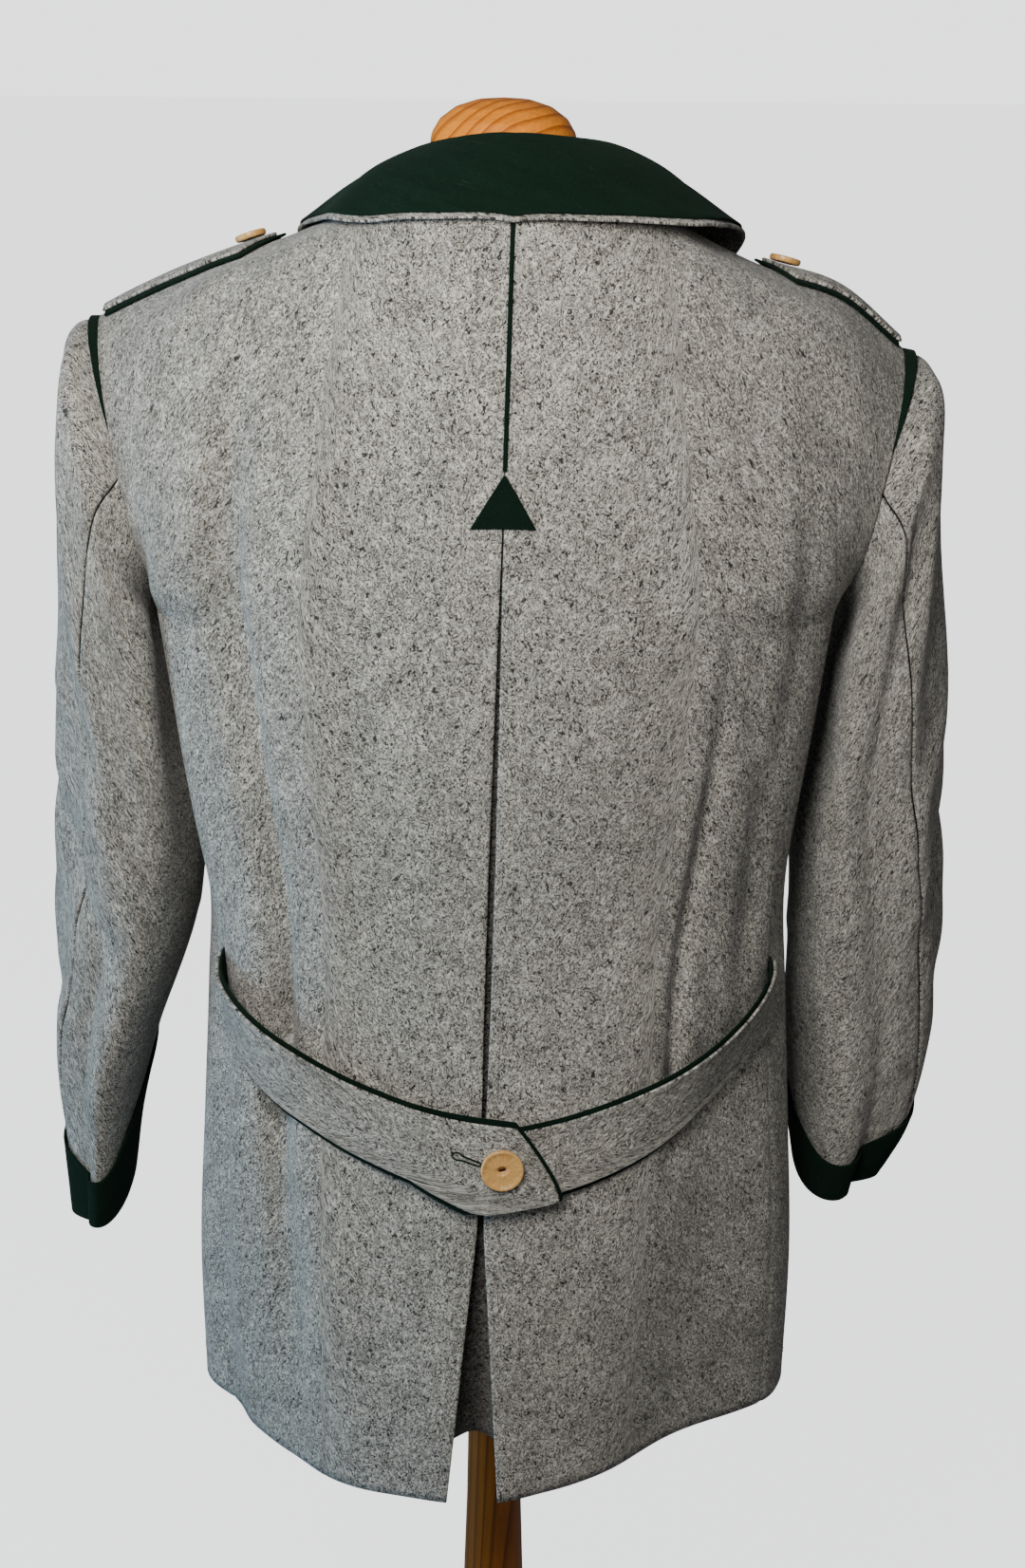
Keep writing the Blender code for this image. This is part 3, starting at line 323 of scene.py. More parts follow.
# %% The body's surface
def body_table():
    """All sections from the front hem over the shoulder to the back hem, as columns."""
    skirt = table(SKIRT_COLUMNS, SKIRT)
    level = np.ones(len(SKIRT))

    def half(yoke, centre_y):
        rows = table(YOKE_COLUMNS, yoke)
        below = {
            "centre_y": centre_y,
            "centre_z": skirt["height"],
            "edge_x": skirt["side_x"],
            "edge_y": skirt["side_y"],
            "edge_z": skirt["height"],
            "corner": level,
            "full": skirt["full"],
            "fall": level,
        }
        return {name: np.concatenate([rows[name], below[name]]) for name in YOKE_COLUMNS}

    back = half(BACK_YOKE, skirt["back_y"])
    front = half(FRONT_YOKE, skirt["front_y"])
    ridge = dict(zip(YOKE_COLUMNS, RIDGE))
    return {
        name: np.concatenate([front[name][::-1], [ridge[name]], back[name]])
        for name in YOKE_COLUMNS
    }


BODY = body_table()
SECTIONS = np.arange(-HEM, HEM + 1)


def column(name, s):
    """One column of the table at s. All but the centre line's may turn at the underarm, where
    the armhole ends and the side seam starts."""
    if name in YOKE_COLUMNS[:2]:
        return through(SECTIONS, BODY[name], s)
    s = np.asarray(s, float)
    yoke = np.abs(s) < UNDERARM
    above = np.abs(SECTIONS) <= UNDERARM
    below = SECTIONS >= UNDERARM
    found = np.empty(s.shape)
    found[yoke] = through(SECTIONS[above], BODY[name][above], s[yoke])
    found[~yoke] = through(SECTIONS[below], BODY[name][below], np.abs(s[~yoke]))
    return found


def plain_body(s, w):
    """A section is a cubic curve from the centre line to the edge; its two tangents meet
    at the corner, and its height falls from the centre to the edge by a power of w."""
    row = {name: column(name, s) for name in YOKE_COLUMNS}
    v = np.abs(w)
    first_x = row["full"] * row["corner"] * row["edge_x"]
    second_x = row["edge_x"] * (1 - row["full"] * (1 - row["corner"]))
    second_y = row["edge_y"] + row["full"] * (row["centre_y"] - row["edge_y"])
    start = (1 - v) ** 3 + 3 * (1 - v) ** 2 * v
    third = 3 * (1 - v) * v**2
    x = 3 * (1 - v) ** 2 * v * first_x + third * second_x + v**3 * row["edge_x"]
    y = start * row["centre_y"] + third * second_y + v**3 * row["edge_y"]
    z = row["centre_z"] + (row["edge_z"] - row["centre_z"]) * v ** row["fall"]
    return np.stack([x * np.sign(w + 1e-12), y, z], -1)


def sit(points):
    """Lean the centre line and set the shoulders at their own heights."""
    x, y, z = np.moveaxis(points, -1, 0)
    rise = through(RISE_X, RISE_Z, x) * MM * smooth((z - RISE_FROM) / (RISE_TO - RISE_FROM))
    lean = LEAN * (LEAN_HEIGHT - z) * (1 - smooth(np.abs(x) / LEAN_BREADTH))
    return np.stack([x + lean, y, z + rise], -1)


def figure(s, w):
    """A body section's point, moved out along its normal by the large folds, then set askew.
    What lies over the back, as the half belt does, follows this smoother surface."""
    points, normals = sample(plain_body, s, w)
    return sit(points + normals * folds(BODY_FOLDS, s, w)[..., None])


def body(s, w):
    """The same with the fine folds of the cloth itself."""
    points, normals = sample(plain_body, s, w)
    high = folds(BODY_FOLDS, s, w) + folds(BODY_CREASES, s, w)
    return sit(points + normals * high[..., None])


def section_at(height):
    """The back's section number at a height below the underarm."""
    numbers = np.linspace(UNDERARM, HEM, 400)
    heights = through(SECTIONS, BODY["centre_z"], numbers)
    return np.interp(-np.asarray(height, float), -heights, numbers)


def w_at(distance, s):
    """The w that lies a short distance from the centre line."""
    return distance / (3 * column("full", s) * column("corner", s) * column("edge_x", s))


def back_s_at(height):
    numbers = np.linspace(NAPE, HEM, 600)
    heights = through(SECTIONS, BODY["centre_z"], numbers)
    return np.interp(-np.asarray(height, float), -heights, numbers)


middle = body(np.array([4.0]), np.array([0.0]))[0]
print("centre back at section 4:", middle.round(3))

# %% [markdown]
# Every sewn piece is a wall of cloth about two millimetres thick. Its two faces are the
# same grid of points, moved along the surface's normals, and its rim is closed by one
# more row of points at half thickness. The faces stop a little short of the rim, so the
# edge is round, and where two pieces meet a fine valley shows, as at a pressed seam.
# The grid's lengths along the cloth, in metres, become the UV map, so fleck, twill and
# thread keep their true size on every piece.

# %% Walls of cloth
PIECES = {}


def lengths(points, axis):
    """Distance along the grid in one direction, from its first row or column."""
    steps = np.linalg.norm(np.diff(points, axis=axis), axis=-1)
    start = np.zeros_like(np.take(steps, [0], axis=axis))
    return np.cumsum(np.concatenate([start, steps], axis=axis), axis=axis)


def squeeze_rim(points, inset, ring):
    """The grid with its outermost rows, and columns unless it is a ring, moved inwards."""
    moved = points.copy()
    pairs = [((0,), (1,)), ((-1,), (-2,))]
    if not ring:
        pairs += [((slice(None), 0), (slice(None), 1)), ((slice(None), -1), (slice(None), -2))]
    for edge, next_in in pairs:
        towards = moved[next_in] - moved[edge]
        long = np.linalg.norm(towards, axis=-1, keepdims=True)
        moved[edge] = moved[edge] + towards / np.maximum(long, 1e-9) * np.minimum(inset, long / 2)
    return moved


def cloth_wall(name, outer, inner, uv, ring=False, rim=0.35):
    """A closed wall between two grids of points, with a row of points round its rim at half
    thickness. ring joins the last column to the first; rim is how round the edge is."""
    rows, cols = outer.shape[:2]
    middle = (outer + inner) / 2
    inset = rim * float(np.linalg.norm(outer - inner, axis=-1).mean())
    grids = [squeeze_rim(outer, inset, ring), squeeze_rim(inner, inset, ring), middle]
    index = np.arange(rows * cols).reshape(rows, cols)
    if ring:
        index = np.column_stack([index, index[:, :1]])
    size = rows * cols

    def quads(first, second):
        return np.stack([first[:-1], first[1:], second[1:], second[:-1]], -1)

    faces = [quads(index[r], index[r + 1]) for r in range(rows - 1)]
    faces += [quads(size + index[r + 1], size + index[r]) for r in range(rows - 1)]
    borders = [(index[0][::-1]), (index[-1])]
    if not ring:
        borders += [index[:, 0], index[:, -1][::-1]]
    for line in borders:
        faces += [quads(line, line + 2 * size), quads(line + 2 * size, line + size)]
    faces = np.concatenate(faces)
    points = np.concatenate([grid.reshape(-1, 3) for grid in grids])
    return mesh_object(name, points, faces, np.tile(uv.reshape(-1, 2), (3, 1)))


def mesh_object(name, points, faces, uv):
    """An object of quads with one UV pair a point, its faces turned outwards, at the origin."""
    mesh = bpy.data.meshes.new(name)
    used, renumbered = np.unique(faces, return_inverse=True)
    faces = renumbered.reshape(faces.shape)
    mesh.from_pydata(points[used].tolist(), [], faces.tolist())
    layer = mesh.uv_layers.new(name="cloth")
    corner_points = np.empty(len(mesh.loops), np.int64)
    mesh.loops.foreach_get("vertex_index", corner_points)
    layer.data.foreach_set("uv", uv[used][corner_points].astype(np.float32).ravel())
    shape = bmesh.new()
    shape.from_mesh(mesh)
    bmesh.ops.recalc_face_normals(shape, faces=shape.faces)
    shape.to_mesh(mesh)
    shape.free()
    mesh.shade_smooth()
    made = bpy.data.objects.new(name, mesh)
    bpy.context.scene.collection.objects.link(made)
    PIECES[name] = made
    return made


def faces_object(name, points, faces, uv):
    """An object from lists of faces of any size, kept as they are, with one UV pair a point."""
    mesh = bpy.data.meshes.new(name)
    mesh.from_pydata(points.tolist(), [], [face for group in faces for face in group.tolist()])
    layer = mesh.uv_layers.new(name="cloth")
    corner_points = np.empty(len(mesh.loops), np.int64)
    mesh.loops.foreach_get("vertex_index", corner_points)
    layer.data.foreach_set("uv", uv[corner_points].astype(np.float32).ravel())
    mesh.shade_smooth()
    made = bpy.data.objects.new(name, mesh)
    bpy.context.scene.collection.objects.link(made)
    PIECES[name] = made
    return made


def grid_uv(points):
    """Metres across and down. Each piece has its own start, so that no two pieces show the
    same flecks, and rows are measured from their first column."""
    start = 0.37 * len(PIECES)
    return np.stack([start + lengths(points, 1), start + lengths(points, 0)], -1)


def cloth_on(name, surface, a, b, lift, thickness, side=1, ring=False, rim=0.35):
    """A wall of cloth over a surface: its outer face is lift above it, its inner face below."""
    points, normals = sample(surface, a, b, side)
    lift = np.asarray(lift, float)[..., None] if np.ndim(lift) else lift
    outer = points + normals * lift
    return cloth_wall(name, outer, outer - normals * thickness, grid_uv(outer), ring, rim)


def stands_for(piece, node, material):
    """The finished piece rides on the body, replaces its solid and takes its material."""
    piece.data.materials.append(material)
    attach(piece, "root")
    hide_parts(node)
    return piece


CLOTH = 0.0020
FELT = 0.0015
GAP = 0.0003
SIDES = {"left": 1, "right": -1}
print("loden", CLOTH / MM, "mm, felt", FELT / MM, "mm thick")


# %% [markdown]
# Loden is a milled wool cloth: yarn spun from white, grey and black fibres, woven and
# then fulled until the weave closes, so what shows is short flecks a millimetre or two
# long, lying a little askew, under a fine haze of fibre. The flecks are a noise in the
# cloth's own metres, stretched along a slant that wanders; a second finer noise is the
# fibre. A Principled shader with a soft sheen carries the haze at grazing angles, and
# the same noises push the surface up and down for the felted relief.

# %% Loden
FLECK_DARK = (0.016, 0.015, 0.013)
FLECK_MID = (0.142, 0.137, 0.121)
FLECK_LIGHT = (0.560, 0.555, 0.520)
FLECK_SCALE = (560.0, 310.0, 1.0)
CROSS_SCALE = (520.0, 290.0, 1.0)
CROSS_TURN = 55.0
FLECK_CURL = 1.5


class Nodes:
    """A small helper to add and join shader nodes in one line each."""

    def __init__(self, name):
        self.material = bpy.data.materials.new(name)
        self.material.use_nodes = True
        self.tree = self.material.node_tree
        self.shader = self.tree.nodes["Principled BSDF"]

    def add(self, kind, joined=(), **values):
        """A node with its properties and unlinked inputs set; joined holds (input, output)."""
        node = self.tree.nodes.new(kind)
        for key, value in values.items():
            if hasattr(node, key):
                setattr(node, key, value)
            else:
                node.inputs[key.replace("_", " ")].default_value = value
        for socket, output in joined:
            self.tree.links.new(output, node.inputs[socket])
        return node

    def ramp(self, factor, stops):
        """A colour ramp through (position, value or colour) stops."""
        node = self.add("ShaderNodeValToRGB", [("Fac", factor)])
        elements = node.color_ramp.elements
        while len(elements) < len(stops):
            elements.new(0.5)
        for element, (position, value) in zip(elements, stops):
            element.position = position
            color = value if hasattr(value, "__len__") else (value, value, value)
            element.color = (*color, 1.0)
        return node.outputs["Color"]

    def math(self, operation, first, second):
        """One arithmetic step; each side is an output or a number."""
        node = self.tree.nodes.new("ShaderNodeMath")
        node.operation = operation
        for socket, value in zip(node.inputs, (first, second)):
            if isinstance(value, (int, float)):
                socket.default_value = value
            else:
                self.tree.links.new(value, socket)
        return node.outputs[0]

    def mix(self, factor, first, second, blend="MIX"):
        """A colour mix; factor and both colours are outputs or constants."""
        node = self.tree.nodes.new("ShaderNodeMix")
        node.data_type = "RGBA"
        node.blend_type = blend
        sockets = [node.inputs[0], node.inputs[6], node.inputs[7]]
        for socket, value in zip(sockets, (factor, first, second)):
            if isinstance(value, (int, float)):
                socket.default_value = value
            elif isinstance(value, tuple):
                socket.default_value = (*value, 1.0)
            else:
                self.tree.links.new(value, socket)
        return node.outputs[2]

    def cloth_coordinates(self):
        """The piece's own UV map, in metres along the cloth."""
        return self.add("ShaderNodeUVMap", uv_map="cloth").outputs["UV"]

    def placed(self, vector, scale, degrees=0.0):
        """Coordinates turned by an angle in the cloth's plane and scaled."""
        turned = self.add(
            "ShaderNodeMapping", [("Vector", vector)], Rotation=(0.0, 0.0, math.radians(degrees))
        )
        return self.add(
            "ShaderNodeMapping", [("Vector", turned.outputs[0])], Scale=scale
        ).outputs[0]

    def noise(self, vector, scale, detail=2.0, rough=0.5, distortion=0.0):
        node = self.add(
            "ShaderNodeTexNoise",
            [("Vector", vector)],
            Scale=scale,
            Detail=detail,
            Roughness=rough,
            Distortion=distortion,
        )
        return node.outputs["Fac"]

    def set(self, **values):
        """Constants on the shader's own sockets, or an output linked to one."""
        for key, value in values.items():
            socket = self.shader.inputs[key.replace("_", " ")]
            if isinstance(value, bpy.types.NodeSocket):
                self.tree.links.new(value, socket)
            else:
                socket.default_value = value


def loden_material(name, slant=-28.0, tint=(1.0, 1.0, 1.0), tone=1.0):
    """Melange loden. slant is how the flecks lean in degrees from the vertical."""
    n = Nodes(name)
    cloth = n.cloth_coordinates()
    wander = n.noise(cloth, 120.0, 1.0)
    fleck = n.noise(n.placed(cloth, FLECK_SCALE, slant), 1.0, 2.0, 0.6, FLECK_CURL)
    cross = n.noise(n.placed(cloth, CROSS_SCALE, slant + CROSS_TURN), 1.0, 2.0, 0.6, FLECK_CURL)
    grain = n.noise(cloth, 800.0, 2.0, 0.6)
    blotch = n.noise(cloth, 46.0, 2.0, 0.55)
    broad = n.noise(cloth, 9.0, 1.0, 0.5)
    both = n.mix(0.45, fleck, cross)
    base = n.ramp(
        both,
        (
            (0.38, tuple(0.16 * c for c in FLECK_MID)),
            (0.46, tuple(0.50 * c for c in FLECK_MID)),
            (0.52, tuple(1.35 * c for c in FLECK_MID)),
            (0.58, FLECK_LIGHT),
        ),
    )
    for strand, color, share in ((fleck, FLECK_DARK, 0.97), (cross, FLECK_LIGHT, 0.75)):
        near = n.math("ABSOLUTE", n.math("SUBTRACT", strand, 0.49), 0.0)
        thin = n.ramp(near, ((0.032, share), (0.060, 0.0)))
        curl = n.math("MULTIPLY", thin, n.ramp(grain, ((0.35, 0.0), (0.43, 1.0))))
        base = n.mix(curl, base, color)
    base = n.mix(1.0, base, n.ramp(blotch, ((0.30, 0.80 * tone), (0.70, 1.16 * tone))), "MULTIPLY")
    base = n.mix(1.0, base, n.ramp(broad, ((0.30, 0.93), (0.70, 1.07))), "MULTIPLY")
    base = n.mix(1.0, base, n.mix(wander, (0.985, 0.99, 1.01), (1.02, 1.0, 0.965)), "MULTIPLY")
    base = n.mix(1.0, base, tint, "MULTIPLY")
    height = n.math("ADD", both, n.math("MULTIPLY", n.noise(cloth, 2600.0, 1.0), 0.35))
    bump = n.add("ShaderNodeBump", [("Height", height)], Strength=0.55, Distance=0.0011)
    n.set(
        Base_Color=base,
        Roughness=0.95,
        Normal=bump.outputs["Normal"],
        Sheen_Weight=0.16,
        Sheen_Roughness=0.55,
        Sheen_Tint=(0.80, 0.84, 0.90, 1.0),
        Specular_IOR_Level=0.18,
    )
    return n.material


LODEN_BACK = loden_material("loden_back", -26.0)
LODEN_SLEEVE = loden_material("loden_sleeve", 24.0)
LODEN_TRIM = loden_material("loden_trim", 62.0, (0.985, 0.985, 0.985))
LODEN_UNDER = loden_material("loden_under_collar", 50.0, (0.9, 0.9, 0.9))
# The pleat's loden is tinted down to 0.42: painted shade for the deep shadow inside the slit, since
# the underlay is the same cloth as the back.
LODEN_PLEAT_PAINTED_SHADE = loden_material("loden_pleat_painted_shade", 40.0, (0.42, 0.42, 0.42))
print("fleck spacing along the slant about", round(1000 / FLECK_SCALE[1], 1), "mm")

# %% [markdown]
# The trims are dark green wool felt. Felt has no yarn: its fibres lie every way, so it
# drinks light and shows only a faint cloudiness, a velvety edge, and the pale lint that
# dark wool always picks up. The lint is the crest of a stretched noise cut off so high
# that only a few thin hairs are left.

# %% Felt
FELT_DEEP = (0.0022, 0.0074, 0.0046)
FELT_LIFTED = (0.0050, 0.0165, 0.0104)
LINT = (0.060, 0.095, 0.075)


def felt_material(name, tone=1.0, deep=FELT_DEEP, lifted=FELT_LIFTED):
    """Dark green felt with cloudy tone, a little sheen and sparse pale lint."""
    n = Nodes(name)
    cloth = n.cloth_coordinates()
    cloud = n.noise(cloth, 60.0, 3.0, 0.6)
    fibre = n.noise(n.placed(cloth, (1.0, 0.4, 1.0), 35.0), 1900.0, 2.0, 0.6, 0.4)
    base = n.mix(cloud, tuple(tone * c for c in deep), tuple(tone * c for c in lifted))
    base = n.mix(1.0, base, n.ramp(fibre, ((0.35, 0.72), (0.65, 1.30))), "MULTIPLY")
    for slant, scale in ((20.0, 1.0), (-52.0, 0.8)):
        hairs = n.placed(cloth, (1500.0 * scale, 240.0 * scale, 1.0), slant)
        thread = n.noise(hairs, 1.0, 1.0, 0.5, 1.2)
        share = n.ramp(thread, ((0.745, 0.0), (0.785, 0.35)))
        base = n.mix(share, base, LINT)
    bump = n.add("ShaderNodeBump", [("Height", fibre)], Strength=0.5, Distance=0.0005)
    n.set(
        Base_Color=base,
        Roughness=0.97,
        Normal=bump.outputs["Normal"],
        Sheen_Weight=0.05,
        Sheen_Roughness=0.6,
        Sheen_Tint=(0.30, 0.50, 0.40, 1.0),
        Specular_IOR_Level=0.06,
    )
    return n.material


FELT_GREEN = felt_material("felt_green")
FELT_EDGE = felt_material("felt_edge", 0.8)
print("two felts")


# %% [markdown]
# The back is cut in two panels that meet in a centre seam, and the seam is left open
# from above the belt down to the hem. The open edges stand apart at the bottom and hang
# forward of the pleat behind them. Each panel follows the neck line and the shoulder
# seam at its top. Its first column of points runs down the slit, and the two panels
# stay about three tenths of a millimetre off the pieces they are sewn to.

# %% Back panels
SHOULDER_SEAM_S = 0.006
SIDE_SEAM_W = 0.0009


# Half width of the slit down the centre back, by height.
SLIT_HEIGHT = (0.677, 0.780, 0.860, 0.900, 1.000, 1.100, 1.240, 1.300, 1.320, 1.500)
SLIT_HALF = (0.0155, 0.0085, 0.0022, 0.0010, 0.0019, 0.0019, 0.0009, 0.0004, 0.0002, 0.0002)


def back_neck_s(w):
    """Section number of the back neck edge, a quarter ellipse from the nape to the shoulder."""
    return NAPE * np.sqrt(np.clip(1 - (np.asarray(w) / NECK_W) ** 2, 0, 1))


PANEL_ROWS = 190
BACK_COLUMNS = 150
SIDE_BACK_SEAM_W = 0.765
SEAM_DEEP = 0.0007
BACK_RIM = 0.12


def down(top, rows=PANEL_ROWS):
    """Section numbers from a top edge to the underarm in half the rows, then on to the hem."""
    share = np.linspace(0, 2, rows)[:, None]
    above = top + (UNDERARM - top) * np.clip(share, 0, 1)
    return above + (HEM - UNDERARM) * np.clip(share - 1, 0, 1)


def panel_grid(top, edge_w, columns):
    """Rows from the top edge to the hem; the first column follows edge_w, a function of s,
    and the columns crowd towards both edges."""
    share = np.linspace(0, 1, columns)[1:]
    inner = np.clip(share * (1 - SIDE_SEAM_W), 0, 1)
    s = down(top(inner)[None, :])
    start = edge_w(s)
    w = start + (1 - SIDE_SEAM_W - start) * share
    s = down(top(np.clip(w[:1], 0, 1)))
    edge_s = down(top(edge_w(0.0)))
    return np.hstack([edge_s, s]), np.hstack([edge_w(edge_s), w])


def slit_w(s):
    height = through(SECTIONS, BODY["centre_z"], s)
    return w_at(np.interp(height, SLIT_HEIGHT, SLIT_HALF), s)


# How far the back's hem rises between the slit and the side seam, in sections.
HEM_RISE = {"left": 0.0, "right": 0.07}


# How far the back's hem rises between the slit and the side seam, in sections.
HEM_RISE = {"left": 0.0, "right": 0.07}


def back_top(w):
    return np.maximum(back_neck_s(w), SHOULDER_SEAM_S)


def make_backs():
    s, w = panel_grid(back_top, slit_w, BACK_COLUMNS)
    for name, side in SIDES.items():
        rise = HEM_RISE[name] * np.sin(np.pi * w) ** 2 * smooth(s - HEM + 1)
        seam = np.exp(-(((w - SIDE_BACK_SEAM_W) / 0.008) ** 2)) * smooth((s - 4.0) / 0.6)
        lift = -SEAM_DEEP * seam
        piece = cloth_on(f"loden_back_{name}", body, s - rise, w * side, lift, CLOTH, rim=BACK_RIM)
        stands_for(piece, f"back_{name}", LODEN_BACK)


make_backs()
print("back panel points:", len(PIECES["loden_back_left"].data.vertices))

# %% [markdown]
# Both fronts are one panel too, from the shoulder to the hem, and each one's front edge
# runs up to a roll line where the lapel turns over. The left front laps over the right,
# as on a man's jacket, so the right panel is pushed in under it near the closing edge.

# %% Front panels
# The front edge: w and s of the roll line from the closing point up to the neck.
ROLL_COLUMNS = "w s".split()
ROLL = ((-0.090, 6.70), (0.020, 5.30), (0.120, 3.75), (0.200, 2.55), (0.280, 1.20), (0.340, 0.0))


FRONT_LAP_W = 0.090


def roll_s(w):
    """Section number of the roll line on the front, counted as a positive number."""
    roll = table(ROLL_COLUMNS, ROLL)
    return np.where(np.asarray(w) < NECK_W, through(roll["w"], roll["s"], w), 0.0)


UNDER_LAP = 0.0052


def push_in(s, w):
    """How far the right front lies under the left one; s and w count from its own side."""
    return UNDER_LAP * smooth((-w + 0.30) / 0.16) * smooth((s - 3.6) / 1.4)


FRONT_COLUMNS = 80


def front_top(w):
    return np.maximum(roll_s(w), SHOULDER_SEAM_S)


def front_grid():
    """Rows from the roll line or shoulder to the hem, columns from the closing edge to the side."""
    w = np.linspace(-FRONT_LAP_W, 1 - SIDE_SEAM_W, FRONT_COLUMNS)
    s = down(front_top(w)[None, :])
    return s, np.broadcast_to(w, s.shape)


def make_fronts():
    s, w = front_grid()
    for name, side in SIDES.items():
        lift = 0.0 * w if name == "left" else -push_in(s, w)
        piece = cloth_on(f"loden_front_{name}", body, -s, w * side, lift, CLOTH)
        stands_for(piece, f"front_{name}", LODEN_BACK)


make_fronts()
print("front panel points:", len(PIECES["loden_front_left"].data.vertices))

# %% [markdown]
# Behind the slit lies the underlay of the pleat, a strip of the same loden that keeps
# the slit closed to the eye while it opens for a stride. It folds inwards in the middle,
# more and more towards the hem, and is a little shorter than the panels. Its loden is
# tinted much darker than the back's, which is painted shade for the deep shadow in the slit.

# %% Pleat underlay
UNDERLAY_TOP = 5.62
UNDERLAY_SHORT = 0.20
UNDERLAY_HALF = 0.046
UNDERLAY_LIFT = 0.0009


TROUGH_HEIGHT = (0.677, 0.780, 0.880, 1.000, 1.300)
TROUGH_DEPTH = (0.044, 0.020, 0.007, 0.005, 0.002)


def make_underlay():
    rows = down(NAPE)[:, 0] - UNDERLAY_SHORT * np.linspace(0, 1, PANEL_ROWS)
    s = rows[rows > UNDERLAY_TOP][::2][:, None]
    across = np.linspace(-1, 1, 33)[None, :]
    w = w_at(UNDERLAY_HALF * across, s)
    height = through(SECTIONS, BODY["centre_z"], s)
    trough = np.interp(height, TROUGH_HEIGHT, TROUGH_DEPTH) * (1 - smooth(np.abs(across)))
    piece = cloth_on("loden_underlay", body, s, w, -(CLOTH + UNDERLAY_LIFT + trough), CLOTH)
    stands_for(piece, "pleat_underlay", LODEN_PLEAT_PAINTED_SHADE)


make_underlay()
print("underlay points:", len(PIECES["loden_underlay"].data.vertices))

# %% [markdown]
# A tailored sleeve has two parts, a wide one over the top and a narrow one under the
# arm, and it bends forward at the elbow because the two seams differ in length. It is a
# surface of rings k, from the armhole at 0 to the mouth at 9, and c, the way round from
# the top. Its first rings are pulled onto the armhole's own line, so it is sewn in all
# round. Real sleeves buckle inside the elbow and hang in slanting folds from the
# shoulder, and the table of creases puts those in, differently on each side.

# %% Sleeves
# Sleeve rings from the armhole to the mouth: outer and inner point, middle, half depth
# from front to back, and how far the seams have turned outwards (degrees).
RING_COLUMNS = "outer_x outer_z inner_x inner_z middle_y half_depth turn".split()
SLEEVES = {
    "left": (
        (0.2360, 1.3930, 0.2050, 1.2340, 0.000, 0.066, 0),
        (0.2510, 1.3800, 0.2100, 1.2240, -0.002, 0.074, 2),
        (0.2590, 1.3520, 0.2100, 1.2080, -0.006, 0.079, 6),
        (0.2655, 1.2960, 0.2040, 1.1850, -0.013, 0.081, 14),
        (0.2720, 1.2150, 0.1985, 1.1420, -0.022, 0.080, 22),
        (0.2785, 1.1150, 0.1890, 1.0760, -0.032, 0.077, 32),
        (0.2850, 1.0000, 0.1990, 0.9960, -0.042, 0.073, 46),
        (0.2900, 0.9000, 0.2295, 0.9100, -0.053, 0.070, 56),
        (0.2895, 0.8400, 0.2480, 0.8420, -0.060, 0.066, 60),
        (0.2890, 0.7840, 0.2585, 0.7810, -0.066, 0.061, 62),
    ),
    "right": (
        (0.2360, 1.3930, 0.2050, 1.2340, 0.000, 0.066, 0),
        (0.2500, 1.3800, 0.2100, 1.2240, -0.002, 0.074, 2),
        (0.2570, 1.3520, 0.2100, 1.2080, -0.006, 0.079, 6),
        (0.2620, 1.2960, 0.2040, 1.1850, -0.013, 0.081, 12),
        (0.2690, 1.2100, 0.1985, 1.1400, -0.022, 0.080, 20),
        (0.2780, 1.1150, 0.1890, 1.0760, -0.032, 0.077, 30),
        (0.2870, 1.0100, 0.1925, 0.9900, -0.042, 0.073, 44),
        (0.2860, 0.9200, 0.1948, 0.9100, -0.052, 0.070, 56),
        (0.2755, 0.8620, 0.2015, 0.8530, -0.058, 0.067, 62),
        (0.2575, 0.8200, 0.2090, 0.8070, -0.062, 0.063, 66),
    ),
}
SLEEVE_END = len(SLEEVES["left"]) - 1
BACK_SEAM_C = 0.27
FRONT_SEAM_C = 0.73
SLEEVE_SEAM_C = 0.0010
ROUNDNESS = 0.90
# Each row: k0 c0 k1 c1 breadth height.


SLEEVE_FOLDS = {
    "left": (
        (2.2, 0.08, 4.6, 0.22, 0.050, -0.0045),
        (4.4, 0.20, 6.6, 0.08, 0.050, 0.0035),
        (3.6, 0.36, 6.0, 0.40, 0.060, -0.0040),
        (5.6, 0.72, 6.6, 0.86, 0.050, -0.0040),
    ),
    "right": (
        (2.6, 0.12, 4.8, 0.24, 0.050, -0.0035),
        (4.4, 0.18, 6.8, 0.10, 0.050, 0.0035),
        (3.6, 0.36, 6.0, 0.40, 0.060, -0.0040),
        (5.6, 0.72, 6.6, 0.86, 0.050, -0.0040),
    ),
}


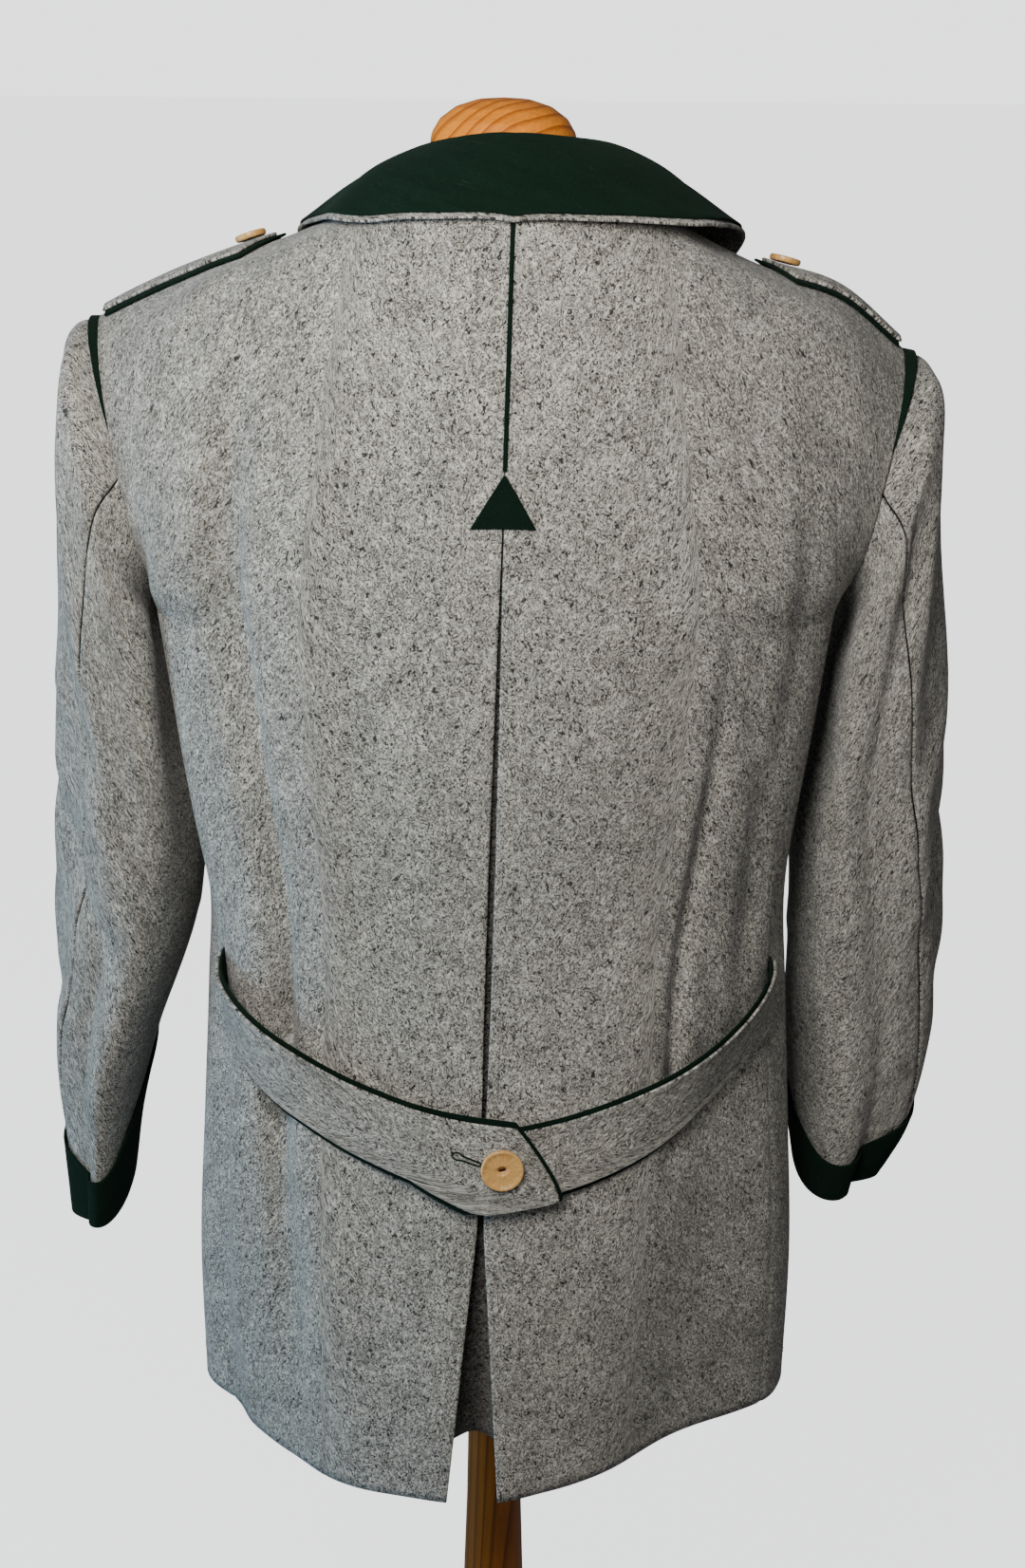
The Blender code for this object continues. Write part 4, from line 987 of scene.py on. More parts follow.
SLEEVE_CREASES = {
    "left": (
        (2.0, 0.400, 6.6, 0.400, 0.055, 0.0095),
        (1.0, 0.100, 4.9, 0.330, 0.032, 0.0034),
        (2.6, 0.110, 4.4, 0.240, 0.042, -0.0048),
        (4.3, 0.190, 5.3, 0.350, 0.034, 0.0040),
        (4.9, 0.100, 5.9, 0.350, 0.036, -0.0055),
        (5.6, 0.070, 6.6, 0.260, 0.034, 0.0034),
        (6.2, 0.240, 7.2, 0.110, 0.040, -0.0030),
        (6.4, 0.250, 8.8, 0.280, 0.030, 0.0034),
        (6.4, 0.350, 8.8, 0.370, 0.055, -0.0080),
        (5.2, 0.800, 5.9, 0.940, 0.030, -0.0030),
        (6.0, 0.700, 6.5, 0.860, 0.030, 0.0024),
        (4.6, 0.500, 6.0, 0.560, 0.050, -0.0024),
    ),
    "right": (
        (2.0, 0.400, 5.2, 0.400, 0.050, 0.0065),
        (1.2, 0.080, 4.0, 0.270, 0.034, 0.0032),
        (2.6, 0.240, 4.6, 0.360, 0.040, -0.0065),
        (4.2, 0.140, 5.4, 0.300, 0.034, 0.0040),
        (4.8, 0.060, 6.0, 0.270, 0.036, -0.0052),
        (5.6, 0.050, 6.8, 0.200, 0.034, 0.0034),
        (6.2, 0.180, 7.6, 0.090, 0.040, -0.0030),
        (5.4, 0.245, 8.7, 0.265, 0.034, 0.0050),
        (5.6, 0.350, 8.7, 0.370, 0.060, -0.0120),
        (5.3, 0.800, 6.0, 0.940, 0.030, -0.0030),
        (6.1, 0.700, 6.6, 0.860, 0.030, 0.0024),
        (4.8, 0.500, 6.2, 0.560, 0.050, -0.0022),
    ),
}
ARMHOLE_UNDER = 0.0003
ARMHOLE_C = np.linspace(0, 1, 481)


def armhole_line(side):
    """The body's edge round the arm, one thickness down, as the panel's edge laps the sleeve's."""
    s = np.where(ARMHOLE_C <= 0.5, 2 * ARMHOLE_C, -2 * (1 - ARMHOLE_C)) * UNDERARM
    points, normals = sample(body, s, np.full(s.shape, float(side)))
    return points - normals * (CLOTH + ARMHOLE_UNDER)


ARMHOLES = {side: armhole_line(side) for side in SIDES.values()}


def armhole(c, side):
    line = ARMHOLES[side]
    return np.stack([through(ARMHOLE_C, line[:, i], np.mod(c, 1.0)) for i in range(3)], -1)


def ring(k, c, side_name):
    """A flattened round, its own outer and inner points and depth read from the sleeve's table."""
    rows = table(RING_COLUMNS, SLEEVES[side_name])
    at = {name: through(np.arange(SLEEVE_END + 1), rows[name], k) for name in RING_COLUMNS}
    angle = 2 * math.pi * c - np.radians(at["turn"])
    out = np.sign(np.cos(angle)) * np.abs(np.cos(angle)) ** ROUNDNESS
    back = np.sign(np.sin(angle)) * np.abs(np.sin(angle)) ** ROUNDNESS
    x = (at["outer_x"] + at["inner_x"]) / 2 + (at["outer_x"] - at["inner_x"]) / 2 * out
    z = (at["outer_z"] + at["inner_z"]) / 2 + (at["outer_z"] - at["inner_z"]) / 2 * out
    y = at["middle_y"] + at["half_depth"] * back
    return sit(np.stack([x * SIDES[side_name], y, z], -1))


def sleeve_surface(side_name):
    """The rings, pulled onto the armhole at their start by a correction that fades out, and
    moved along their normals by the folds and creases."""
    side = SIDES[side_name]

    def plain(k, c):
        start = armhole(c, side) - ring(np.zeros(np.shape(c)), c, side_name)
        fade = np.clip(1 - k / 1.6, 0, None) ** 2
        return ring(k, c, side_name) + start * fade[..., None]

    def surface(k, c):
        points, normals = sample(plain, k, c, -side)
        way = np.mod(c, 1.0)
        high = folds(SLEEVE_FOLDS[side_name], k, way) + folds(SLEEVE_CREASES[side_name], k, way)
        return points + normals * (high * smooth(k / 1.5))[..., None]

    return surface


SLEEVE_ROWS = 130
TOP_COLUMNS = 64
UNDER_COLUMNS = 50


def make_sleeves():
    k = np.linspace(0, SLEEVE_END, SLEEVE_ROWS)[:, None]
    halves = {
        "top": (FRONT_SEAM_C - 1, BACK_SEAM_C, TOP_COLUMNS),
        "under": (BACK_SEAM_C, FRONT_SEAM_C, UNDER_COLUMNS),
    }
    for name, side in SIDES.items():
        for half, (start, end, columns) in halves.items():
            c = np.linspace(start + SLEEVE_SEAM_C, end - SLEEVE_SEAM_C, columns)[None, :]
            piece = cloth_on(
                f"loden_sleeve_{name}_{half}", sleeve_surface(name), k, c, 0.0, CLOTH, -side
            )
            stands_for(piece, f"sleeve_{name}_{half}", LODEN_SLEEVE)


make_sleeves()
print("sleeve top points:", len(PIECES["loden_sleeve_left_top"].data.vertices))

# %% [markdown]
# A felt cuff is laid over each sleeve's end. Its upper border dips to a low point at the
# outside and climbs to the inside, where it runs up the back seam in a tall point.

# %% Felt cuffs
# Where the felt cuff's upper border runs, by the true way round from the outside (degrees).
CUFF_WAY = (0, 60, 90, 120, 180, 240, 270, 300, 360)
CUFF_BORDER = (7.55, 8.28, 8.38, 8.28, 7.45, 7.00, 6.95, 7.00, 7.55)
CUFF_BLUR = 3.0
CUFF_PAST = 0.03
CUFF_LIFT = 0.0011


def make_cuffs():
    for name, side in SIDES.items():
        c = np.linspace(FRONT_SEAM_C - 1, FRONT_SEAM_C, 121)[:-1]
        way = np.mod(360 * c - table(RING_COLUMNS, SLEEVES[name])["turn"][-1], 360)
        border = np.interp(way, CUFF_WAY, CUFF_BORDER)
        around = np.exp(-((np.arange(-9, 10) / CUFF_BLUR) ** 2))
        border = np.convolve(np.tile(border, 3), around / around.sum(), "same")[120:240]
        end = SLEEVE_END + CUFF_PAST
        k = border + (end - border) * np.linspace(0, 1, 40)[:, None]
        lift = CUFF_LIFT + FELT
        sleeve = sleeve_surface(name)
        piece = cloth_on(f"felt_cuff_{name}", sleeve, k, c[None, :], lift, FELT, -side, True)
        stands_for(piece, f"cuff_{name}", FELT_GREEN)


make_cuffs()
print("cuff points:", len(PIECES["felt_cuff_left"].data.vertices))

# %% [markdown]
# A crescent of felt is sewn in at the head of each sleeve, widest at the shoulder point
# and running out to nothing front and back.

# %% Sleeve head crescents
# The felt crescent round the top of the armhole: its breadth in k, by c.
WEDGE_END_C = 0.225
WEDGE_BREADTH = {"left": 0.30, "right": 0.38}
WEDGE_START_K = 0.03
WEDGE_POINT_K = 0.03
WEDGE_LIFT = 0.0008


def make_wedges():
    for name, side in SIDES.items():
        c = np.linspace(-WEDGE_END_C, WEDGE_END_C, 91)[None, :]
        breadth = WEDGE_POINT_K + WEDGE_BREADTH[name] * (1 - np.abs(c / WEDGE_END_C) ** 1.5)
        k = WEDGE_START_K + breadth * np.linspace(0, 1, 9)[:, None]
        piece = cloth_on(
            f"felt_wedge_{name}", sleeve_surface(name), k, c, WEDGE_LIFT + FELT, FELT, -side
        )
        stands_for(piece, f"wedge_{name}", FELT_GREEN)


make_wedges()
print("crescent points:", len(PIECES["felt_wedge_left"].data.vertices))

# %% [markdown]
# The collar stands up from the neck seam, folds over, and falls to its outer edge. u
# goes round that bend, from the seam at 0 over the fold at 1 to the edge at 2, and t
# goes round the neck. The felt is the collar's upper face; the loden under collar is
# the same surface one thickness below, and shows as a grey edge under the felt's.

# %% Collar
# Half the collar, from the centre back to its front end. Its neck seam, fold and outer
# edge each follow the body's surface, at s and w, standing off it by a lift.
COLLAR_COLUMNS = (
    "neck_s neck_w neck_lift fold_s fold_w fold_lift edge_s edge_w edge_lift".split()
)
COLLAR = (
    (2.00, 0.000, 0.0014, 1.62, 0.000, 0.0175, 2.66, 0.000, 0.0060),
    (1.81, 0.145, 0.0014, 1.45, 0.125, 0.0185, 2.42, 0.190, 0.0070),
    (1.29, 0.260, 0.0014, 1.02, 0.220, 0.0185, 1.90, 0.370, 0.0070),
    (0.34, 0.335, 0.0014, 0.27, 0.270, 0.0145, 0.78, 0.455, 0.0055),
    (-0.35, 0.325, 0.0014, -0.52, 0.292, 0.0140, -0.45, 0.510, 0.0055),
    (-1.13, 0.285, 0.0014, -1.20, 0.276, 0.0110, -1.65, 0.490, 0.0055),
    (-1.97, 0.235, 0.0014, -1.98, 0.236, 0.0090, -2.85, 0.450, 0.0055),
)


COLLAR_SHOULDER = 0.34
COLLAR_BULGE = 0.0045
COLLAR_RIGHT_LIFT = 0.010
COLLAR_RIGHT_OUT = 0.050


def collar_surface(u, t):
    """Across the collar, u goes from the neck seam (0) up to the fold (1) and down to the
    edge (2), as a smooth curve through these three and a raised point past the fold. t is
    the same in every row, so the three lines are worked out once."""
    t = t[:1]
    rows = table(COLLAR_COLUMNS, COLLAR)
    at = {name: through(np.arange(len(COLLAR)), rows[name], np.abs(t)) for name in COLLAR_COLUMNS}
    right = smooth((-t - 0.2) / 2.2) * (1 - smooth((-t - 4.2) / 1.8))
    at["edge_lift"] = at["edge_lift"] + COLLAR_RIGHT_LIFT * right
    at["fold_lift"] = at["fold_lift"] + COLLAR_RIGHT_LIFT * right / 2
    at["edge_w"] = at["edge_w"] + COLLAR_RIGHT_OUT * right
    lines = []
    for part in ("neck", "fold", "edge"):
        w = at[f"{part}_w"] * np.sign(t + 1e-12)
        points, normals = sample(body, at[f"{part}_s"], w)
        lines.append(points + normals * at[f"{part}_lift"][..., None])
    neck, fold, edge = lines
    raised = fold + COLLAR_SHOULDER * (edge - fold)
    raised[..., 2] += COLLAR_BULGE
    knots = (0.0, 1.0, 1.0 + COLLAR_SHOULDER, 2.0)
    shares = [through(knots, weight, u)[..., None] for weight in np.eye(4)]
    return sum(share * line for share, line in zip(shares, (neck, fold, raised, edge)))


def make_collar():
    t = np.linspace(-6, 6, 161)[None, :]
    stretches = ((0.0, 0.8, 14), (0.83, 1.2, 22), (1.23, 2.0, 26))
    u = np.concatenate([np.linspace(*stretch) for stretch in stretches])
    piece = cloth_on("felt_collar", collar_surface, u[:, None], t, FELT / 2, FELT)
    stands_for(piece, "collar_felt", FELT_GREEN)
    u = np.linspace(1.12, 2.05, 34)[:, None]
    piece = cloth_on("loden_under_collar", collar_surface, u, t, -FELT / 2 - GAP, CLOTH)
    stands_for(piece, "collar_under", LODEN_UNDER)


make_collar()
print("collar points:", len(PIECES["felt_collar"].data.vertices))

# %% [markdown]
# The lapels are the fronts' own cloth turned over along the roll line. They lie flat at
# their edge and swell a little near the fold, since thick cloth never creases sharply.

# %% Lapels
# Each lapel from the closing point up to the notch: w of the roll line, and its outer edge.
LAPEL_COLUMNS = "roll_w edge_w edge_s".split()
LAPELS = {
    "left": (
        (-0.080, -0.070, 6.62),
        (-0.010, 0.090, 5.90),
        (0.060, 0.220, 4.95),
        (0.120, 0.330, 4.15),
        (0.170, 0.405, 3.45),
        (0.212, 0.350, 3.05),
    ),
    "right": (
        (0.022, 0.034, 5.40),
        (0.060, 0.150, 5.30),
        (0.100, 0.260, 4.70),
        (0.140, 0.350, 4.05),
        (0.175, 0.405, 3.45),
        (0.212, 0.350, 3.05),
    ),
}


LAPEL_LIFT = 0.0013
LAPEL_SWELL = 0.0040


def make_lapels():
    steps = np.linspace(0, 5, 60)
    for name, side in SIDES.items():
        rows = table(LAPEL_COLUMNS, LAPELS[name])
        lapel = {key: np.interp(steps, np.arange(6), rows[key]) for key in LAPEL_COLUMNS}
        across = np.linspace(0, 1, 24)[:, None]
        w = lapel["roll_w"] + (lapel["edge_w"] - lapel["roll_w"]) * across
        start_s = roll_s(lapel["roll_w"])
        s = start_s + (lapel["edge_s"] - start_s) * across
        lift = LAPEL_LIFT + CLOTH + LAPEL_SWELL * np.sin(np.pi * across) * np.ones_like(w)
        if name == "right":
            lift = lift - push_in(s, w)
        piece = cloth_on(f"loden_lapel_{name}", body, -s, w * side, lift, CLOTH)
        stands_for(piece, f"lapel_{name}", LODEN_TRIM)


make_lapels()
print("lapel points:", len(PIECES["loden_lapel_left"].data.vertices))

# %% [markdown]
# A shoulder strap lies along each shoulder, its point towards the neck and its base in
# the sleeve seam. It is loden on a layer of green felt that is cut larger, so that a
# dark edge shows all round.

# %% Shoulder straps
STRAP_HALF = 0.95
STRAP_POINT_W = {"left": 0.555, "right": 0.620}
STRAP_POINT_LONG = 0.08
STRAP_END_W = 0.975
STRAP_LIFT = 0.0010
STRAP_FORWARD = 0.35


STRAP_FELT_ACROSS = 1.13
STRAP_FELT_ALONG = -0.045


def strap_grid(across, along, point_w):
    """Across the strap in s and along it in w, from its pointed end to the sleeve."""
    across = np.array(across)[:, None]
    along = np.array(along)[None, :]
    start = point_w + STRAP_POINT_LONG * np.abs(across)
    w = start + (STRAP_END_W - start) * along
    return across * STRAP_HALF * (0.90 - 0.12 * along) - STRAP_FORWARD * along, w


def make_straps():
    across = np.linspace(-1, 1, 25)
    along = np.linspace(0, 1, 61)
    felt_across = np.concatenate([[-STRAP_FELT_ACROSS], across, [STRAP_FELT_ACROSS]])
    felt_along = np.concatenate([[STRAP_FELT_ALONG], along])
    for name, side in SIDES.items():
        s, w = strap_grid(felt_across, felt_along, STRAP_POINT_W[name])
        lift = STRAP_LIFT + FELT
        piece = cloth_on(f"felt_strap_{name}", body, s, w * side, lift, FELT)
        stands_for(piece, f"strap_felt_{name}", FELT_EDGE)
        s, w = strap_grid(across, along, STRAP_POINT_W[name])
        piece = cloth_on(f"loden_strap_{name}", body, s, w * side, lift + GAP + CLOTH, CLOTH)
        stands_for(piece, f"strap_{name}", LODEN_TRIM)


make_straps()
print("strap points:", len(PIECES["loden_strap_left"].data.vertices))

# %% [markdown]
# The half belt across the back is two pieces sewn into the side seams. The left one
# ends in a blunt point that buttons over the right one. They hang a little loose, so
# their upper edges stand off the back near the sides. Each has its felt lining cut
# larger, which shows as a dark line above and a thinner one below.

# %% Half belt
BELT_COLUMNS = "w upper off gape".split()
BELTS = {
    "left": (
        (-0.145, 0.9290, 0.0118, 0.0),
        (-0.060, 0.9340, 0.0116, 0.0),
        (0.030, 0.9380, 0.0114, 0.0),
        (0.130, 0.9440, 0.0108, 0.0),
        (0.200, 0.9500, 0.0090, 0.002),
        (0.290, 0.9590, 0.0074, 0.005),
        (0.400, 0.9740, 0.0064, 0.009),
        (0.520, 0.9900, 0.0060, 0.012),
        (0.640, 1.0020, 0.0056, 0.010),
        (0.720, 1.0080, 0.0052, 0.005),
        (0.770, 1.0100, 0.0050, 0.001),
    ),
    "right": (
        (-0.110, 0.9330, 0.0060, 0.0),
        (0.000, 0.9360, 0.0060, 0.0),
        (0.120, 0.9420, 0.0060, 0.0),
        (0.240, 0.9520, 0.0058, 0.003),
        (0.370, 0.9660, 0.0058, 0.008),
        (0.500, 0.9820, 0.0056, 0.012),
        (0.630, 0.9960, 0.0054, 0.010),
        (0.720, 1.0040, 0.0052, 0.005),
        (0.770, 1.0060, 0.0050, 0.001),
    ),
}


BELT_WIDTH = ((-0.15, 0.0580), (0.02, 0.0570), (0.14, 0.0455), (0.80, 0.0450))
BELT_LOWER = {"left": 0.0, "right": 0.0095}
BELT_FELT_ABOVE = -0.055
BELT_FELT_BELOW = 1.080
BELT_FELT_PAST = -0.009
BELT_STITCH = 0.14
TIP_SHARE = 0.72
TIP_ABOVE = 0.085
TIP_BELOW = 0.135
TIP_LONG = 0.24


def belt_grid(name, shares, along):
    """Rows down the belt and columns along it. The belt widens towards its free end, which
    is a blunt corner low down: its upper edge is cut back steeply, its lower at a slant."""
    at = table(BELT_COLUMNS, BELTS[name])
    share = np.array(shares)[:, None]
    free_w = at["w"][0]
    w = free_w + (at["w"][-1] - free_w) * along[None, :]
    near_end = np.clip(1 - (w - free_w) / TIP_LONG, 0, 1)
    above = np.clip(TIP_SHARE - share, 0, None) / TIP_SHARE
    below = np.clip(share - TIP_SHARE, 0, None) / (1 - TIP_SHARE)
    w = w + near_end * (TIP_ABOVE * above**1.35 + TIP_BELOW * below**1.3)
    wide = np.interp(w, *zip(*BELT_WIDTH)) if name == "left" else 0.0450
    upper = through(at["w"], at["upper"], w) - BELT_LOWER[name] * (1 - smooth((w - 0.35) / 0.4))
    gape = through(at["w"], at["gape"], w) * np.clip(1 - share, 0, 1) ** 1.3
    return section_at(upper - wide * share), w, through(at["w"], at["off"], w) + gape


def stitch_groove(shares):
    """How far the belt's stitching draws it in, a narrow valley beside each edge."""
    share = np.array(shares)[:, None]
    beside = np.minimum(np.abs(share - BELT_STITCH), np.abs(share - 1 + BELT_STITCH))
    return 0.0005 * np.exp(-((beside / 0.022) ** 2))


def make_belts():
    along = np.linspace(0, 1, 190)
    shares = np.linspace(0, 1, 49)
    felt_along = np.concatenate([[BELT_FELT_PAST], along])
    felt_shares = np.concatenate([[BELT_FELT_ABOVE], shares, [BELT_FELT_BELOW]])
    for name, side in SIDES.items():
        s, w, off = belt_grid(name, shares, along)
        lift = off - stitch_groove(shares)
        piece = cloth_on(f"loden_belt_{name}", figure, s, w * side, lift, CLOTH)
        stands_for(piece, f"belt_{name}", LODEN_TRIM)
        s, w, off = belt_grid(name, felt_shares, felt_along)
        lift = off - CLOTH - GAP - 0.0005
        piece = cloth_on(f"felt_belt_{name}", figure, s, w * side, lift, FELT)
        stands_for(piece, f"belt_felt_{name}", FELT_EDGE)


make_belts()
print("belt points:", len(PIECES["loden_belt_left"].data.vertices))

# %% [markdown]
# A green piping runs down the centre seam from under the collar to a felt arrowhead,
# the stay that strengthens the top of the pleat.

# %% Piping and arrowhead
PIPING_HALF = 0.00125
PIPING_THICK = 0.0010
TRIM_LIFT = 0.0005
ARROW_TOP = 1.331
ARROW_BASE = 1.302
ARROW_HALF = 0.0185
PIPING_END = 1.333


def make_back_trim():
    s = np.linspace(NAPE + 0.10, float(back_s_at(PIPING_END)), 120)[:, None]
    w = w_at(PIPING_HALF * np.linspace(-1, 1, 7)[None, :], s)
    round_top = -0.0004 * np.linspace(-1, 1, 7)[None, :] ** 2 * np.ones_like(w)
    piece = cloth_on("felt_piping", body, s, w, TRIM_LIFT + PIPING_THICK + round_top, PIPING_THICK)
    stands_for(piece, "seam_piping", FELT_EDGE)
    height = np.linspace(ARROW_TOP, ARROW_BASE, 24)[:, None]
    s = back_s_at(height) * np.ones((1, 21))
    half = 0.0006 + (ARROW_HALF - 0.0006) * (ARROW_TOP - height) / (ARROW_TOP - ARROW_BASE)
    w = w_at(half * np.linspace(-1, 1, 21)[None, :], s)
    piece = cloth_on("felt_arrow", body, s, w, TRIM_LIFT + FELT, FELT)
    stands_for(piece, "back_arrow", FELT_EDGE)


make_back_trim()
print("arrow points:", len(PIECES["felt_arrow"].data.vertices))


# %% [markdown]
# Buttons of stag horn are sliced across the antler and turned with a raised rim. Horn
# is pale and warm, darker in flecks and rings from the pith, with fine streaks that run
# out from the middle, and it has a soft polish. The streaks are a noise read in polar
# coordinates of the button's own map, which is a disc in metres.

# %% Horn
HORN_PALE = (0.70, 0.420, 0.145)
HORN_WARM = (0.50, 0.245, 0.062)
HORN_DARK = (0.16, 0.055, 0.018)


def horn_material():
    n = Nodes("stag_horn")
    disc = n.cloth_coordinates()
    split = n.add("ShaderNodeSeparateXYZ", [("Vector", disc)])
    x, y = split.outputs[0], split.outputs[1]
    radius = n.math("POWER", n.math("ADD", n.math("MULTIPLY", x, x), n.math("MULTIPLY", y, y)), 0.5)
    angle = n.math("ARCTAN2", y, x)
    turns, out = n.math("MULTIPLY", angle, 3.2), n.math("MULTIPLY", radius, 60.0)
    polar = n.add("ShaderNodeCombineXYZ", [("X", turns), ("Y", out)])
    streak = n.noise(polar.outputs[0], 2.6, 3.0, 0.6, 0.2)
    cloud = n.noise(disc, 150.0, 3.0, 0.6, 0.6)
    base = n.mix(n.ramp(streak, ((0.38, 0.0), (0.68, 0.9))), HORN_PALE, HORN_WARM)
    base = n.mix(n.ramp(cloud, ((0.60, 0.0), (0.78, 0.55))), base, HORN_DARK)
    spread = n.add("ShaderNodeCombineXYZ", [("X", n.math("MULTIPLY", radius, 900.0))])
    rings = n.noise(spread.outputs[0], 1.0, 1.0)
    base = n.mix(1.0, base, n.ramp(rings, ((0.3, 0.90), (0.7, 1.06))), "MULTIPLY")
    bump = n.add("ShaderNodeBump", [("Height", streak)], Strength=0.12, Distance=0.0004)
    n.set(
        Base_Color=base,
        Roughness=0.36,
        Normal=bump.outputs["Normal"],
        Coat_Weight=0.25,
        Coat_Roughness=0.25,
        Subsurface_Weight=0.08,
        Subsurface_Scale=0.002,
    )
    return n.material


HORN = horn_material()
THREAD = felt_material("green_thread", 1.0)
BUTTON_THREAD = felt_material("button_thread", 1.0, (0.020, 0.004, 0.003), (0.060, 0.014, 0.009))
print("horn and thread")

# %% [markdown]
# A button here has a dished face, a round raised rim and two holes that sit so close
# together that they read as one small oval slot, filled with the thread that holds it.
# The disc is a grid of rings and spokes. Its height comes from a profile of the radius,
# and the slot is a soft oval pit pushed into the same grid.

# %% Buttons
BELT_BUTTON = (0.0130, 0.0042)
FRONT_BUTTON = (0.0115, 0.0040)
STRAP_BUTTON = (0.0092, 0.0036)


FRONT_BUTTON_COLUMNS = "height lift".split()
FRONT_BUTTONS = ((1.165, 0.0001), (1.050, 0.0009), (0.935, 0.0005), (0.820, 0.0001))
BELT_BUTTON_HEIGHT = 0.909
BELT_BUTTON_X = -0.0115
STRAP_BUTTON_W = 0.056
STRAP_BUTTON_LIFT = 0.0004


BUTTON_FACE_R = (0.0, 0.18, 0.35, 0.52, 0.70, 0.80, 0.87, 0.94, 0.985, 1.0, 0.985, 0.93, 0.60, 0.0)
BUTTON_FACE_Z = (0.72, 0.72, 0.72, 0.73, 0.76, 0.84, 0.95, 0.97, 0.84, 0.58, 0.30, 0.06, 0.0, 0.0)
SLOT_LONG = 0.0033
SLOT_WIDE = 0.0023


def button(name, node, size, point, normal, slot_turn, slot_side=0.0):
    """Rings and spokes of a turned disc, set on a point with its axis along the normal.
    slot_turn is the slot's direction round the axis, in degrees."""
    radius, height = size
    rings, spokes = 90, 96
    at = np.linspace(0, len(BUTTON_FACE_R) - 1, rings)
    r = np.interp(at, np.arange(len(BUTTON_FACE_R)), BUTTON_FACE_R)[:, None] * radius
    z = np.interp(at, np.arange(len(BUTTON_FACE_R)), BUTTON_FACE_Z)[:, None] * height
    around = 2 * np.pi * np.arange(spokes) / spokes
    x, y = r * np.cos(around), r * np.sin(around)
    turn = math.radians(slot_turn)
    long = x * math.cos(turn) + y * math.sin(turn)
    wide = -x * math.sin(turn) + y * math.cos(turn) - slot_side
    upper = (at < 7)[:, None]
    pit = np.exp(-(((long / SLOT_LONG) ** 2 + (wide / SLOT_WIDE) ** 2) ** 2))
    z = z - 0.55 * height * pit * upper
    up = np.array(normal)
    east = np.cross([0.0, 0.0, 1.0], up)
    east = east / np.linalg.norm(east)
    north = np.cross(up, east)
    base = np.array(point) + up * GAP

    def placed(a, b, c):
        above = (c * np.ones_like(a))[..., None] * up
        return base + a[..., None] * east + b[..., None] * north + above

    points = placed(x, y, z)
    index = np.arange(rings * spokes).reshape(rings, spokes)
    index[0] = index[0, 0]
    index[-1] = index[-1, 0]
    index = np.column_stack([index, index[:, :1]])
    faces = np.stack([index[:-1, :-1], index[:-1, 1:], index[1:, 1:], index[1:, :-1]], -1)
    caps = np.concatenate([faces[0][:, [0, 2, 3]], faces[-1][:, [0, 1, 2]]])
    made = disc_object(name, points, faces[1:-1].reshape(-1, 4), caps, np.stack([x, y], -1))
    stands_for(made, node, HORN)
    thread = np.linspace(-1, 1, 15)[None, :]
    across = np.linspace(-1, 1, 7)[:, None]
    tx = thread * SLOT_LONG * 0.72
    ty = across * SLOT_WIDE * 0.34 + slot_side
    tz = height * 0.26 + 0.0007 * (1 - thread**2) * np.sqrt(1 - 0.8 * across**2)
    wx, wy = tx * math.cos(turn) - ty * math.sin(turn), tx * math.sin(turn) + ty * math.cos(turn)
    top = placed(wx, wy, tz)
    uv = np.stack([tx + 0 * ty, ty + 0 * tx], -1)
    piece = cloth_wall(f"thread_{name}", top, top - 0.0004 * up, uv)
    piece.data.materials.append(BUTTON_THREAD)
    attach(piece, "root")
    return made


def disc_object(name, points, quads, triangles, uv):
    """One object from quads and the triangles of its two poles."""
    mesh = bpy.data.meshes.new(name)
    flat = points.reshape(-1, 3)
    faces = quads.tolist() + triangles.tolist()
    used = np.unique(np.concatenate([quads.ravel(), triangles.ravel()]))
    number = np.full(len(flat), -1)
    number[used] = np.arange(len(used))
    mesh.from_pydata(flat[used].tolist(), [], [[int(number[i]) for i in face] for face in faces])
    layer = mesh.uv_layers.new(name="cloth")
    corner_points = np.empty(len(mesh.loops), np.int64)
    mesh.loops.foreach_get("vertex_index", corner_points)
    layer.data.foreach_set("uv", uv.reshape(-1, 2)[used][corner_points].astype(np.float32).ravel())
    shape = bmesh.new()
    shape.from_mesh(mesh)
    bmesh.ops.recalc_face_normals(shape, faces=shape.faces)
    shape.to_mesh(mesh)
    shape.free()
    mesh.shade_smooth()
    made = bpy.data.objects.new(name, mesh)
    bpy.context.scene.collection.objects.link(made)
    PIECES[name] = made
    return made


def point_on(surface, a, b, lift, side=1):
    points, normals = sample(surface, np.array([[a]]), np.array([[b]]), side)
    return points[0, 0] + normals[0, 0] * lift, normals[0, 0]


def make_buttons():
    front = table(FRONT_BUTTON_COLUMNS, FRONT_BUTTONS)
    for number, (height, lift) in enumerate(zip(front["height"], front["lift"]), start=1):
        spot, normal = point_on(body, -float(section_at(height)), 0.0, lift)
        name = f"button_front_{number}"
        button(f"horn_{name}", name, FRONT_BUTTON, spot, normal, 90.0)
    s = float(section_at(BELT_BUTTON_HEIGHT))
    w = float(w_at(BELT_BUTTON_X, s))
    belt = table(BELT_COLUMNS, BELTS["left"])
    spot, normal = point_on(figure, s, w, float(through(belt["w"], belt["off"], w)))
    button("horn_button_belt", "button_belt", BELT_BUTTON, spot, normal, 12.0)
    top = STRAP_LIFT + FELT + GAP + CLOTH + STRAP_BUTTON_LIFT
    for name, side in SIDES.items():
        w = STRAP_POINT_W[name] + STRAP_BUTTON_W
        spot, normal = point_on(body, 0.0, w * side, top)
        button(f"horn_button_strap_{name}", f"button_strap_{name}", STRAP_BUTTON, spot, normal, 0.0)


make_buttons()
print("belt button points:", len(PIECES["horn_button_belt"].data.vertices))

# %% [markdown]
# The dress form has no limbs and no head: a padded torso under black jersey, with a
# neck that ends flat. Hardly any of it shows, only the neck inside the collar and the
# front between the lapels. Jersey is a fine knit, so its material is small rows of
# loops in the surface's own metres.

